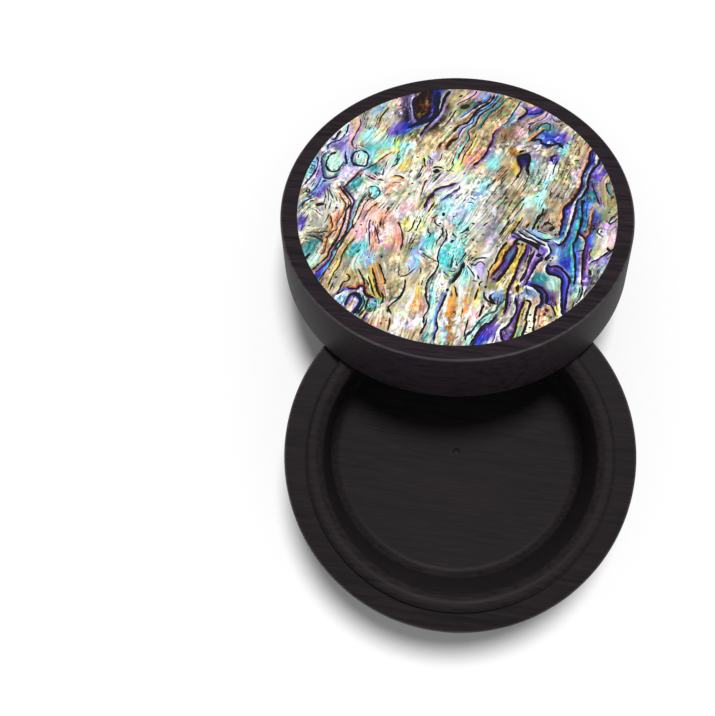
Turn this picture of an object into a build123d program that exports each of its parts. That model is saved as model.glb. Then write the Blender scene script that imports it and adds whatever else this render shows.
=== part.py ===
"""A turned ebony box for seal paste, with its lid taken off and leaned against the back of the base.

The base is a thick cup with a raised ring that locates the lid. The lid carries a disc of abalone
shell, cut in separate slips and bedded in black adhesive in a shallow recess.

Units are millimetres and +Z is up. The origin is on the base's turning axis, on the table. The lid
leans behind the base, on its +Y side, with its back edge on the table.
"""

from build123d import *
from math import asin, atan2, cos, hypot, radians, sin, sqrt
import os

# Overall size of the two turned pieces
box_radius = 40.0
edge_round = 0.5

# Base: shoulder height, locating ring, bowl
base_height = 32.0
foot_chamfer = 1.2
shoulder_width = 5.0
ring_height = 2.6
ring_width = 4.0
ring_outer_round = 0.9
ring_inner_round = 2.2
floor_thickness = 10.0
bowl_draft = 0.7
bowl_fillet = 2.5
centre_mark_radius = 0.8
centre_mark_depth = 0.35

# Lid: height, seat over the ring, hollow under the crown
lid_height = 15.2
ring_side_clearance = 0.3
ring_top_clearance = 0.8
hollow_depth = 7.0
hollow_fillet = 1.8
hollow_edge_round = 0.6
mouth_round = 0.4

# Shell inlay: wood border round it, bed of adhesive, slips
border_width = 3.8
bed_thickness = 0.35
shell_thickness = 0.9
inlay_side_clearance = 0.1
seam_width = 0.12

# Lid at rest: where its mouth touches the ring, counted round from the lid's front, the gap that
# is left there, and how far the lid is turned about the base's axis
contact_angle = 42.3
rest_gap = 0.3
lid_turn = -0.78

# Sizes that follow from the ones above
ring_outer_radius = box_radius - shoulder_width
bowl_mouth_radius = ring_outer_radius - ring_width
bowl_floor_radius = bowl_mouth_radius - bowl_draft
ring_top = base_height + ring_height
seat_radius = ring_outer_radius + ring_side_clearance
seat_depth = ring_height + ring_top_clearance
hollow_radius = bowl_mouth_radius
recess_radius = box_radius - border_width
recess_depth = bed_thickness + shell_thickness
shell_radius = recess_radius - inlay_side_clearance

# Corners of the shell slips, as shares of the shell's radius: x to the right, y towards the back
seam_corner_shares = {
    "left": (-1.15, 0.24),
    "left_top": (-1.15, 1.15),
    "top_left": (-0.57, 1.15),
    "top_left_in": (-0.46, 0.82),
    "top": (0.11, 1.15),
    "right_top": (1.15, 1.15),
    "right": (1.15, 0.66),
    "right_low": (1.15, -0.60),
    "right_bottom": (1.15, -1.15),
    "bottom_right": (0.55, -1.15),
    "bottom": (0.05, -1.15),
    "left_bottom": (-1.15, -1.15),
    "left_low": (-1.15, -0.62),
    "loops": (-0.48, 0.41),
    "waist": (-0.01, 0.48),
    "neck": (-0.11, 0.285),
    "middle": (-0.08, -0.09),
    "fork": (-0.27, -0.34),
    "left_low_in": (-0.59, -0.34),
    "notch": (-0.10, -0.43),
    "foot": (0.09, -0.47),
    "crown": (0.34, 0.43),
    "brow": (0.71, 0.50),
    "stripe": (0.205, -0.25),
    "band": (0.57, -0.07),
    "sole": (0.32, -0.57),
}
slip_corners = {
    "shell_slip_left_top": ["left", "loops", "top_left_in", "top_left", "left_top"],
    "shell_slip_top": ["loops", "neck", "waist", "top", "top_left", "top_left_in"],
    "shell_slip_left": ["left", "left_low", "left_low_in", "fork", "middle", "neck", "loops"],
    "shell_slip_left_low": ["left_low", "left_bottom", "bottom", "foot", "notch", "middle", "fork", "left_low_in"],
    "shell_slip_right_top": ["waist", "crown", "brow", "right", "right_top", "top"],
    "shell_slip_centre": ["neck", "middle", "notch", "foot", "stripe", "crown", "waist"],
    "shell_slip_right": ["crown", "stripe", "band", "right_low", "right", "brow"],
    "shell_slip_bottom": ["foot", "bottom", "bottom_right", "sole", "stripe"],
    "shell_slip_right_low": ["stripe", "sole", "bottom_right", "right_bottom", "right_low", "band"],
}

# Place of the leaning lid: the mouth's rounded edge meets the ring's top at two points, and the
# rounded heel is on the table
front_run = seat_radius * cos(radians(contact_angle))
lean_run = box_radius - edge_round + front_run
lean_height = ring_top + rest_gap - mouth_round - edge_round
lean = asin(lean_height / hypot(lean_run, edge_round)) + atan2(edge_round, lean_run)
contact_x = seat_radius * sin(radians(contact_angle))
contact_y = sqrt(ring_outer_radius**2 - contact_x**2)
lid_reach = contact_y + front_run * cos(lean)
lid_rise = (box_radius - edge_round) * sin(lean) + edge_round * (1 - cos(lean))
turn = radians(lid_turn)
lid_plane = Plane(
    origin=(lid_reach * sin(turn), lid_reach * cos(turn), lid_rise),
    x_dir=(cos(turn), -sin(turn), 0),
    z_dir=(sin(lean) * sin(turn), sin(lean) * cos(turn), cos(lean)),
)
lid_axis = Axis(lid_plane.origin, lid_plane.z_dir)
lid_half_plane = Plane(origin=lid_plane.origin, x_dir=lid_plane.x_dir, z_dir=-lid_plane.y_dir)


def corners_at(sketch, points):
    """Returns the sketch's corners nearest to the given (radius, height) points."""
    return [sketch.vertices().sort_by_distance(point)[0] for point in points]


os.makedirs("parts", exist_ok=True)

# Base: one profile turned about Z
with BuildPart() as base_bowl:
    with BuildSketch(Plane.XZ) as base_profile:
        with BuildLine():
            Polyline(
                (0, 0),
                (box_radius, 0),
                (box_radius, base_height),
                (ring_outer_radius, base_height),
                (ring_outer_radius, ring_top),
                (bowl_mouth_radius, ring_top),
                (bowl_floor_radius, floor_thickness),
                (0, floor_thickness),
                close=True,
            )
        make_face()
        chamfer(corners_at(base_profile, [(box_radius, 0)]), length=foot_chamfer)
        fillet(corners_at(base_profile, [(box_radius, base_height)]), radius=edge_round)
        fillet(corners_at(base_profile, [(ring_outer_radius, ring_top)]), radius=ring_outer_round)
        fillet(corners_at(base_profile, [(bowl_mouth_radius, ring_top)]), radius=ring_inner_round)
        fillet(corners_at(base_profile, [(bowl_floor_radius, floor_thickness)]), radius=bowl_fillet)
    revolve(axis=Axis.Z)
    with Locations((0, 0, floor_thickness)):
        Cone(
            bottom_radius=0,
            top_radius=centre_mark_radius,
            height=centre_mark_depth,
            align=(Align.CENTER, Align.CENTER, Align.MAX),
            mode=Mode.SUBTRACT,
        )
base_bowl.part.label = "base_bowl"
export_step(base_bowl.part, "parts/base_bowl.step")

# Lid: one profile turned about its own axis, open below for the ring and above for the inlay
with BuildPart() as lid:
    with BuildSketch(lid_half_plane) as lid_profile:
        with BuildLine():
            Polyline(
                (0, hollow_depth),
                (hollow_radius, hollow_depth),
                (hollow_radius, seat_depth),
                (seat_radius, seat_depth),
                (seat_radius, 0),
                (box_radius, 0),
                (box_radius, lid_height),
                (recess_radius, lid_height),
                (recess_radius, lid_height - recess_depth),
                (0, lid_height - recess_depth),
                close=True,
            )
        make_face()
        fillet(corners_at(lid_profile, [(hollow_radius, hollow_depth)]), radius=hollow_fillet)
        fillet(corners_at(lid_profile, [(hollow_radius, seat_depth)]), radius=hollow_edge_round)
        fillet(corners_at(lid_profile, [(seat_radius, 0)]), radius=mouth_round)
        fillet(corners_at(lid_profile, [(box_radius, 0)]), radius=edge_round)
        fillet(corners_at(lid_profile, [(box_radius, lid_height)]), radius=edge_round)
    revolve(axis=lid_axis)
lid.part.label = "lid"
export_step(lid.part, "parts/lid.step")

# Bed: the black adhesive that fills the bottom of the recess
with BuildPart() as inlay_bed:
    with BuildSketch(lid_plane.offset(lid_height - recess_depth)):
        Circle(recess_radius - inlay_side_clearance)
    extrude(amount=bed_thickness)
inlay_bed.part.label = "inlay_bed"
export_step(inlay_bed.part, "parts/inlay_bed.step")

# Shell slips: straight-cut pieces of one disc, a hairline seam apart, flush with the wood
slips = {}
for slip_name, corner_names in slip_corners.items():
    with BuildPart() as slip:
        with BuildSketch(lid_plane.offset(lid_height - shell_thickness)):
            with BuildLine() as cut_line:
                Polyline(
                    [tuple(share * shell_radius for share in seam_corner_shares[name]) for name in corner_names],
                    close=True,
                )
            make_face()
            trace(cut_line.edges(), line_width=seam_width, mode=Mode.SUBTRACT)
            Circle(shell_radius, mode=Mode.INTERSECT)
        extrude(amount=shell_thickness)
    slip.part.label = slip_name
    export_step(slip.part, f"parts/{slip_name}.step")
    slips[slip_name] = slip.part
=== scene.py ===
"""Looks of a turned ebony box for seal paste, with its lid off and leaned against the back of the base.

The base and the lid are turned again from their profiles, finely enough for a satin polish. The
disc of abalone shell in the lid is laid slip by slip: each slip is a fine sheet that carries the
shell's growth lines, colours and grain, drawn below in millimetres on the lid.
"""

import logging
import math
from dataclasses import dataclass
from enum import Enum
from typing import Any, Iterable

import bpy
import numpy as np
from mathutils import Euler, Matrix, Vector
from mathutils.geometry import delaunay_2d_cdt


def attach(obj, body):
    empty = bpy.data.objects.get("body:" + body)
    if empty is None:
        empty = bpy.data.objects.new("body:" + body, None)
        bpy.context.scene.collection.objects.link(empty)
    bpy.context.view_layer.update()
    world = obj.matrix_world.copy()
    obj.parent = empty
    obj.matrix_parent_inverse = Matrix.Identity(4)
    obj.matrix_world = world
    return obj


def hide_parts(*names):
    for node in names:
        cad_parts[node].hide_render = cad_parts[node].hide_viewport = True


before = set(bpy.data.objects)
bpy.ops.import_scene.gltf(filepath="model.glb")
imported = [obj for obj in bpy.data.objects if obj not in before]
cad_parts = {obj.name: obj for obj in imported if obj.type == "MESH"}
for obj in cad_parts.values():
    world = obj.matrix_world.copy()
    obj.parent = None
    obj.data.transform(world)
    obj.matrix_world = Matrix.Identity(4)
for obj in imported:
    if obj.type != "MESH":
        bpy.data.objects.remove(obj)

LOG = logging.getLogger("seal_paste_box")
MM = 0.001
IMAGE_HEIGHT = 716

# Cells along each side of a random lattice, a distance beyond everything, and one next to nothing
LATTICE = 256
FAR = 1e9
NEAR_ZERO = 1e-9


def channels(hex_colour: str) -> np.ndarray:
    """Splits an sRGB hex colour into its channels.

    Args:
        hex_colour: The colour, such as "#2c2226".

    Returns:
        Red, green and blue from 0 to 1.
    """
    return np.array([int(hex_colour[i:i + 2], 16) / 255 for i in (1, 3, 5)])


def to_linear(srgb: np.ndarray) -> np.ndarray:
    """Turns sRGB channels from 0 to 1 into linear light by the standard curve."""
    return np.where(srgb <= 0.04045, srgb / 12.92, ((srgb + 0.055) / 1.055) ** 2.4)


def linear(hex_colour: str) -> tuple[float, ...]:
    """Turns an sRGB hex colour into linear red, green and blue, and an alpha of 1."""
    return (*to_linear(channels(hex_colour)).tolist(), 1.0)


def add_object(name: str, data: bpy.types.ID) -> bpy.types.Object:
    """Makes an object from its data and puts it into the scene.

    Args:
        name: The object's name.
        data: Its mesh, light or camera.

    Returns:
        The new object.
    """
    made = bpy.data.objects.new(name, data)
    bpy.context.scene.collection.objects.link(made)
    return made


def add_node(tree: bpy.types.NodeTree, kind: str, settings: dict[str, Any] | None = None,
             inputs: dict[str | int, Any] | None = None) -> bpy.types.Node:
    """Adds one node, sets its options and fills or links its inputs.

    Args:
        tree: The node tree that gets the node.
        kind: The node's type name.
        settings: Options to set on the node.
        inputs: Values or output sockets, by input name or number.

    Returns:
        The new node.
    """
    node = tree.nodes.new(kind)
    for name, value in (settings or {}).items():
        setattr(node, name, value)
    for key, value in (inputs or {}).items():
        if isinstance(value, bpy.types.NodeSocket):
            tree.links.new(value, node.inputs[key])
        else:
            node.inputs[key].default_value = value
    return node


def new_material(name: str) -> tuple[bpy.types.Material, bpy.types.NodeTree]:
    """Makes an empty node material.

    Args:
        name: The material's name.

    Returns:
        The material and its cleared node tree.
    """
    material = bpy.data.materials.new(name)
    material.use_nodes = True
    material.node_tree.nodes.clear()
    return material, material.node_tree


def between_cells(lattice: np.ndarray, corner: np.ndarray, share: np.ndarray) -> np.ndarray:
    """Blends the four values of a lattice that lie round each point.

    Args:
        lattice: Values by row and column.
        corner: Column and row of the value below and left of each point, as an (n, 2) array.
        share: How far each point has gone from there to the next column and row, from 0 to 1.

    Returns:
        The blended value for each point.
    """
    (x, y), (across, up) = corner.T, share.T
    low = lattice[y, x].T * (1 - across) + lattice[y, x + 1].T * across
    high = lattice[y + 1, x].T * (1 - across) + lattice[y + 1, x + 1].T * across
    return (low * (1 - up) + high * up).T


def smooth_noise(points: np.ndarray, cell: float, seed: int) -> np.ndarray:
    """Smooth random values on a plane, the same on every run.

    Args:
        points: Places, as an (n, 2) array.
        cell: Size of the noise's cells, in the unit of the points.
        seed: Seed of the random lattice.

    Returns:
        One value from -1 to 1 for each point.
    """
    lattice = np.random.default_rng(seed).uniform(-1, 1, (LATTICE, LATTICE))
    scaled = points / cell + (LATTICE + 1) / 2
    corner = np.floor(scaled).astype(int)
    share = scaled - corner
    return between_cells(lattice, corner % (LATTICE - 1), share * share * (3 - 2 * share))


def blend(under: np.ndarray, over: np.ndarray, share: np.ndarray) -> np.ndarray:
    """Lays one colour over another, with one share from 0 to 1 for each point."""
    return under * (1 - share[:, None]) + over * share[:, None]


@dataclass
class LidPlace:
    """Place of the leaning lid: millimetres on the lid, u right, v to the heel, w up its axis."""

    origin: Vector
    u_dir: Vector
    v_dir: Vector
    w_dir: Vector

    @classmethod
    def from_bed(cls, bed: bpy.types.Object, height_on_lid: float) -> "LidPlace":
        """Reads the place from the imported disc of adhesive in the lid.

        Args:
            bed: The node of the adhesive bed.
            height_on_lid: Height of the bed's middle above the lid's mouth, in mm.

        Returns:
            The lid's place.
        """
        points = np.array([v.co for v in bed.data.vertices]) / MM
        normal = np.linalg.svd(points - points.mean(axis=0))[2][2]
        w_dir = Vector(normal if normal[2] > 0 else -normal).normalized()
        u_dir = Vector((w_dir.y, -w_dir.x, 0)).normalized()
        v_dir = w_dir.cross(u_dir)
        middle = Vector((0, 0, 0))
        for axis in (u_dir, v_dir, w_dir):
            along = points @ np.array(axis)
            middle += axis * (along.min() + along.max()) / 2
        return cls(middle - w_dir * height_on_lid, u_dir, v_dir, w_dir)

    def matrix(self) -> Matrix:
        """Matrix from millimetres on the lid to metres in the frame."""
        turn = Matrix((self.u_dir, self.v_dir, self.w_dir)).transposed().to_4x4()
        return Matrix.Scale(MM, 4) @ Matrix.Translation(self.origin) @ turn

    def turn(self) -> Euler:
        """The lid's turn alone."""
        return Matrix((self.u_dir, self.v_dir, self.w_dir)).transposed().to_euler()


@dataclass(frozen=True)
class Corner:
    """A corner of a turned profile: radius and height in mm, and how far it is rounded."""

    radius: float
    height: float
    round_radius: float = 0.0


class Lathe:
    """Turns closed profiles into solid pieces with a Geometry Nodes tree."""

    segments = 384
    arc_steps = 8
    crease_degrees = 18.0
    weld_distance = 0.02
    round_face_width = 0.12
    least_round_radius = 5.0
    # Share of painted light on the inner walls, which lightens their shade
    painted_wall_light = 0.3

    def __init__(self) -> None:
        """Builds the tree once for all turned pieces."""
        self.tree = self._build_tree()

    def _build_tree(self) -> bpy.types.NodeTree:
        """Builds the tree: a grid whose rows are the profile's points, wrapped round the axis.

        Returns:
            The tree.
        """
        tree = bpy.data.node_groups.new("turned_piece", "GeometryNodeTree")
        inputs = {
            "Geometry": "NodeSocketGeometry",
            "Segments": "NodeSocketInt",
            "Weld Distance": "NodeSocketFloat",
            "Crease Angle": "NodeSocketFloat",
            "Wood": "NodeSocketMaterial",
        }
        for name, kind in inputs.items():
            tree.interface.new_socket(name, in_out="INPUT", socket_type=kind)
        tree.interface.new_socket("Geometry", in_out="OUTPUT", socket_type="NodeSocketGeometry")
        entry = add_node(tree, "NodeGroupInput").outputs
        rows = add_node(tree, "GeometryNodeAttributeDomainSize", {"component": "MESH"}, {
            0: entry["Geometry"],
        }).outputs["Point Count"]
        columns = add_node(tree, "ShaderNodeMath", {"operation": "ADD"}, {
            0: entry["Segments"], 1: 1.0,
        }).outputs[0]
        grid = add_node(tree, "GeometryNodeMeshGrid", None, {"Vertices X": columns, "Vertices Y": rows})
        index = add_node(tree, "GeometryNodeInputIndex").outputs[0]
        column = add_node(tree, "ShaderNodeMath", {"operation": "DIVIDE"}, {0: index, 1: rows}).outputs[0]
        column = add_node(tree, "ShaderNodeMath", {"operation": "FLOOR"}, {0: column}).outputs[0]
        row = add_node(tree, "ShaderNodeMath", {"operation": "MODULO"}, {0: index, 1: rows}).outputs[0]
        point = add_node(tree, "GeometryNodeSampleIndex", {"data_type": "FLOAT_VECTOR"}, {
            "Geometry": entry["Geometry"],
            "Value": add_node(tree, "GeometryNodeInputPosition").outputs[0],
            "Index": row,
        }).outputs[0]
        split = add_node(tree, "ShaderNodeSeparateXYZ", None, {0: point}).outputs
        turn = add_node(tree, "ShaderNodeMath", {"operation": "DIVIDE"}, {
            0: column, 1: entry["Segments"],
        }).outputs[0]
        angle = add_node(tree, "ShaderNodeMath", {"operation": "MULTIPLY"}, {0: turn, 1: math.tau})
        cosine = add_node(tree, "ShaderNodeMath", {"operation": "COSINE"}, {0: angle.outputs[0]})
        sine = add_node(tree, "ShaderNodeMath", {"operation": "SINE"}, {0: angle.outputs[0]})
        x, y = (
            add_node(tree, "ShaderNodeMath", {"operation": "MULTIPLY"}, {0: split["X"], 1: part.outputs[0]})
            for part in (cosine, sine)
        )
        place = add_node(tree, "ShaderNodeCombineXYZ", None, {
            "X": x.outputs[0], "Y": y.outputs[0], "Z": split["Z"],
        }).outputs[0]
        wrapped = add_node(tree, "GeometryNodeSetPosition", None, {
            "Geometry": grid.outputs[0], "Position": place,
        }).outputs[0]
        welded = add_node(tree, "GeometryNodeMergeByDistance", None, {
            "Geometry": wrapped, "Distance": entry["Weld Distance"],
        }).outputs[0]
        smooth = add_node(tree, "GeometryNodeSetShadeSmooth", None, {"Geometry": welded}).outputs[0]
        edge = add_node(tree, "GeometryNodeInputMeshEdgeAngle").outputs["Unsigned Angle"]
        sharp = add_node(tree, "FunctionNodeCompare", {"operation": "GREATER_THAN"}, {
            0: edge, 1: entry["Crease Angle"],
        }).outputs[0]
        creased = add_node(tree, "GeometryNodeSetShadeSmooth", {"domain": "EDGE"}, {
            "Geometry": smooth, "Selection": sharp, "Shade Smooth": False,
        }).outputs[0]
        real = add_node(tree, "GeometryNodeRealizeInstances", None, {0: creased}).outputs[0]
        dressed = add_node(tree, "GeometryNodeSetMaterial", None, {
            "Geometry": real, "Material": entry["Wood"],
        })
        add_node(tree, "NodeGroupOutput", None, {0: dressed.outputs[0]})
        return tree

    def profile(self, corners: Iterable[Corner]) -> list[tuple[float, float]]:
        """Walks a profile from the axis out and back, with each rounded corner as an arc.

        Args:
            corners: The profile's corners, the first and the last on the axis.

        Returns:
            Radius and height of each point, in mm.
        """
        corners = list(corners)
        places = [Vector((corner.radius, corner.height)) for corner in corners]
        points = []
        for i, (corner, here) in enumerate(zip(corners, places)):
            if not corner.round_radius:
                points.append(tuple(here))
                continue
            back = (places[i - 1] - here).normalized()
            ahead = (places[i + 1] - here).normalized()
            half = back.angle(ahead) / 2
            middle = here + (back + ahead).normalized() * corner.round_radius / math.sin(half)
            start = (here + back * corner.round_radius / math.tan(half) - middle).normalized()
            end = (here + ahead * corner.round_radius / math.tan(half) - middle).normalized()
            for step in range(self.arc_steps + 1):
                out = start.slerp(end, step / self.arc_steps)
                points.append(tuple(middle + out * corner.round_radius))
        return points

    def turn(self, name: str, corners: Iterable[Corner], place: Matrix,
             wood: bpy.types.Material) -> bpy.types.Object:
        """Turns a profile into a closed piece.

        Args:
            name: The piece's name.
            corners: The profile's corners in mm, first and last on the axis.
            place: Matrix from the profile's millimetres to metres in the frame.
            wood: The piece's material.

        Returns:
            The finished piece, with its place in its mesh.
        """
        seed = bpy.data.meshes.new(f"{name}_profile")
        seed.from_pydata([(r, 0, z) for r, z in self.profile(corners)], [], [])
        holder = add_object(f"{name}_lathe", seed)
        modifier = holder.modifiers.new("turned_piece", "NODES")
        modifier.node_group = self.tree
        values = {
            "Segments": self.segments,
            "Weld Distance": self.weld_distance,
            "Crease Angle": math.radians(self.crease_degrees),
            "Wood": wood,
        }
        for item in self.tree.interface.items_tree:
            if item.in_out == "INPUT" and item.name in values:
                modifier[item.identifier] = values[item.name]
        bpy.context.view_layer.update()
        evaluated = holder.evaluated_get(bpy.context.evaluated_depsgraph_get())
        mesh = bpy.data.meshes.new_from_object(evaluated)
        bpy.data.objects.remove(holder)
        mesh.name = name
        self._mark_painted_light(mesh)
        mesh.transform(place)
        mesh.materials.clear()
        mesh.materials.append(wood)
        return add_object(name, mesh)

    def _mark_painted_light(self, mesh: bpy.types.Mesh) -> None:
        """Marks how much painted light each face gets: a painted highlight on rounded edges, and a little on
        inner walls to lighten their shade.

        Args:
            mesh: The turned mesh, in millimetres round its own axis.
        """
        mark = mesh.attributes.new("painted_light", "FLOAT", "FACE")
        for face in mesh.polygons:
            radius = math.hypot(face.center.x, face.center.y)
            if radius < self.least_round_radius:
                continue
            inwards = max(0.0, -face.normal.xy.dot(face.center.xy) / radius)
            # Inner walls get a little painted light that lightens their shade
            painted_light = self.painted_wall_light * inwards**2
            if face.area * self.segments / (math.tau * radius) < self.round_face_width:
                # Narrow faces of rounded edges get a painted highlight
                painted_light = 2 * abs(face.normal.z) * face.normal.xy.length
            mark.data[face.index].value = painted_light


@dataclass(frozen=True)
class Ebony:
    """Turned ebony, sanded fine and waxed: nearly black, with thin brown streaks, a satin sheen, a painted
    highlight on rounded edges and painted light on inner walls.
    """

    heartwood: str = "#1d181a"
    streak: str = "#272020"
    vein: str = "#120e0f"
    # Pale colour and strength of the painted highlight on edges and the painted light on inner walls
    painted_light_colour: str = "#8a8284"
    painted_light_strength: float = 0.3
    streak_spacing: float = 0.8
    streak_length: float = 26.0
    drift_length: float = 13.0
    streak_drift: float = 1.6
    streak_range: tuple[float, float] = (0.3, 0.7)
    tone_places: tuple[float, float, float] = (0.3, 0.5, 0.74)
    pore_width: float = 0.16
    pore_length: float = 3.2
    pore_range: tuple[float, float] = (0.56, 0.72)
    pore_depth: float = 0.04
    pore_strength: float = 0.12
    grain_degrees: float = -8.0
    roughness: float = 0.5
    roughness_range: tuple[float, float] = (-0.05, 0.07)
    specular_level: float = 0.10

    def build(self, name: str, turn: Euler) -> bpy.types.Material:
        """Makes the material.

        Args:
            name: The material's name.
            turn: Turn of the piece that the wood belongs to, which the grain follows.

        Returns:
            The material.
        """
        material, tree = new_material(name)
        place = add_node(tree, "ShaderNodeTexCoord").outputs["Object"]
        back = turn.to_matrix().inverted().to_euler()
        upright = add_node(tree, "ShaderNodeMapping", {"vector_type": "POINT"}, {
            "Vector": place, "Rotation": back, "Scale": (1 / MM, 1 / MM, 1 / MM),
        })
        along = add_node(tree, "ShaderNodeMapping", {"vector_type": "POINT"}, {
            "Vector": upright.outputs[0], "Rotation": (0, 0, -math.radians(self.grain_degrees)),
        }).outputs[0]
        drift = add_node(tree, "ShaderNodeTexNoise", None, {
            "Vector": along, "Scale": 1 / self.drift_length, "Detail": 2.0,
        }).outputs["Color"]
        stretched = add_node(tree, "ShaderNodeMapping", {"vector_type": "POINT"}, {
            "Vector": along,
            "Scale": (1 / self.streak_length, 1 / self.streak_spacing, 1 / self.streak_spacing),
        }).outputs[0]
        warped = add_node(tree, "ShaderNodeVectorMath", {"operation": "MULTIPLY_ADD"}, {
            0: drift, 1: (0.0, self.streak_drift, self.streak_drift), 2: stretched,
        }).outputs[0]
        streaks = add_node(tree, "ShaderNodeTexNoise", None, {
            "Vector": warped, "Scale": 1.0, "Detail": 5.0, "Roughness": 0.62,
        }).outputs["Fac"]
        colour = add_node(tree, "ShaderNodeValToRGB", None, {"Fac": streaks})
        tones = colour.color_ramp.elements
        tones.new(self.tone_places[-1])
        for tone, position, shade in zip(tones, self.tone_places, (self.vein, self.heartwood, self.streak)):
            tone.position, tone.color = position, linear(shade)
        pore_place = add_node(tree, "ShaderNodeMapping", {"vector_type": "POINT"}, {
            "Vector": along,
            "Scale": (1 / self.pore_length, 1 / self.pore_width, 1 / self.pore_width),
        }).outputs[0]
        pores = add_node(tree, "ShaderNodeTexNoise", None, {
            "Vector": pore_place, "Scale": 0.6, "Detail": 1.0,
        }).outputs["Fac"]
        pore_depth = add_node(tree, "ShaderNodeMapRange", None, {
            "Value": pores, "From Min": self.pore_range[0], "From Max": self.pore_range[1],
        }).outputs["Result"]
        light_pores = add_node(tree, "ShaderNodeMix", {"data_type": "RGBA", "blend_type": "MIX"}, {
            0: pore_depth, 6: colour.outputs["Color"], 7: linear(self.streak),
        }).outputs[2]
        bump = add_node(tree, "ShaderNodeBump", None, {
            "Height": pore_depth, "Strength": self.pore_strength, "Distance": self.pore_depth * MM,
        }).outputs["Normal"]
        low, high = self.streak_range
        rough = add_node(tree, "ShaderNodeMapRange", None, {
            "Value": streaks, "From Min": low, "From Max": high,
            "To Min": self.roughness + self.roughness_range[0],
            "To Max": self.roughness + self.roughness_range[1],
        }).outputs["Result"]
        # Painted light: a pale colour on the rounded edges stands in for their highlight, and a little of it
        # on the inner walls lightens their shade
        painted_light_mask = add_node(tree, "ShaderNodeAttribute", {"attribute_name": "painted_light"}).outputs["Fac"]
        painted_light_amount = add_node(tree, "ShaderNodeMapRange", None, {
            "Value": streaks, "From Min": low, "From Max": high,
            "To Min": self.painted_light_strength / 2, "To Max": self.painted_light_strength,
        }).outputs["Result"]
        pale = add_node(tree, "ShaderNodeMath", {"operation": "MULTIPLY"}, {0: painted_light_mask, 1: painted_light_amount}).outputs[0]
        with_painted_light = add_node(tree, "ShaderNodeMix", {"data_type": "RGBA"}, {
            0: pale, 6: light_pores, 7: linear(self.painted_light_colour),
        }).outputs[2]
        shader = add_node(tree, "ShaderNodeBsdfPrincipled", None, {
            "Base Color": with_painted_light, "Roughness": rough, "Normal": bump,
            "Specular IOR Level": self.specular_level,
        })
        add_node(tree, "ShaderNodeOutputMaterial", None, {"Surface": shader.outputs[0]})
        return material


@dataclass(frozen=True)
class CuredAdhesive:
    """Black epoxy that beds the shell, cast and cured: nearly black, with a faint unevenness."""

    colour: str = "#0b0a0b"
    roughness: float = 0.55
    roughness_swing: float = 0.1
    unevenness: float = 0.8

    def build(self, name: str) -> bpy.types.Material:
        """Makes the material.

        Args:
            name: The material's name.

        Returns:
            The material.
        """
        material, tree = new_material(name)
        place = add_node(tree, "ShaderNodeTexCoord").outputs["Object"]
        noise = add_node(tree, "ShaderNodeTexNoise", None, {
            "Vector": place, "Scale": 1 / (self.unevenness * MM), "Detail": 2.0,
        }).outputs["Fac"]
        rough = add_node(tree, "ShaderNodeMapRange", None, {
            "Value": noise, "To Min": self.roughness - self.roughness_swing,
            "To Max": self.roughness + self.roughness_swing,
        }).outputs["Result"]
        shader = add_node(tree, "ShaderNodeBsdfPrincipled", None, {
            "Base Color": linear(self.colour), "Roughness": rough,
        })
        add_node(tree, "ShaderNodeOutputMaterial", None, {"Surface": shader.outputs[0]})
        return material


@dataclass
class BoxBase:
    """The turned base: its sizes in mm, and how it is made and dressed."""

    radius: float = 40.0
    edge_round: float = 0.5
    height: float = 32.0
    foot_chamfer: float = 1.2
    shoulder_width: float = 5.0
    ring_height: float = 2.6
    ring_width: float = 4.0
    ring_outer_round: float = 0.9
    ring_inner_round: float = 2.2
    floor_height: float = 10.0
    bowl_draft: float = 0.7
    bowl_fillet: float = 2.5
    mark_radius: float = 0.8
    mark_depth: float = 0.35

    def corners(self) -> list[Corner]:
        """Lists the base's profile.

        Returns:
            Its corners, from the middle of the foot round to the middle of the bowl's floor.
        """
        ring_outer = self.radius - self.shoulder_width
        ring_inner = ring_outer - self.ring_width
        ring_top = self.height + self.ring_height
        return [
            Corner(0, 0),
            Corner(self.radius - self.foot_chamfer, 0),
            Corner(self.radius, self.foot_chamfer),
            Corner(self.radius, self.height, self.edge_round),
            Corner(ring_outer, self.height),
            Corner(ring_outer, ring_top, self.ring_outer_round),
            Corner(ring_inner, ring_top, self.ring_inner_round),
            Corner(ring_inner - self.bowl_draft, self.floor_height, self.bowl_fillet),
            Corner(self.mark_radius, self.floor_height),
            Corner(0, self.floor_height - self.mark_depth),
        ]

    def build(self, lathe: Lathe, wood: bpy.types.Material) -> bpy.types.Object:
        """Turns the base and puts it in the place of its node.

        Args:
            lathe: The lathe that turns it.
            wood: The base's material.

        Returns:
            The piece.
        """
        piece = lathe.turn("turned_base", self.corners(), Matrix.Scale(MM, 4), wood)
        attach(piece, "box_base")
        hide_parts("base_bowl")
        return piece


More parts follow.
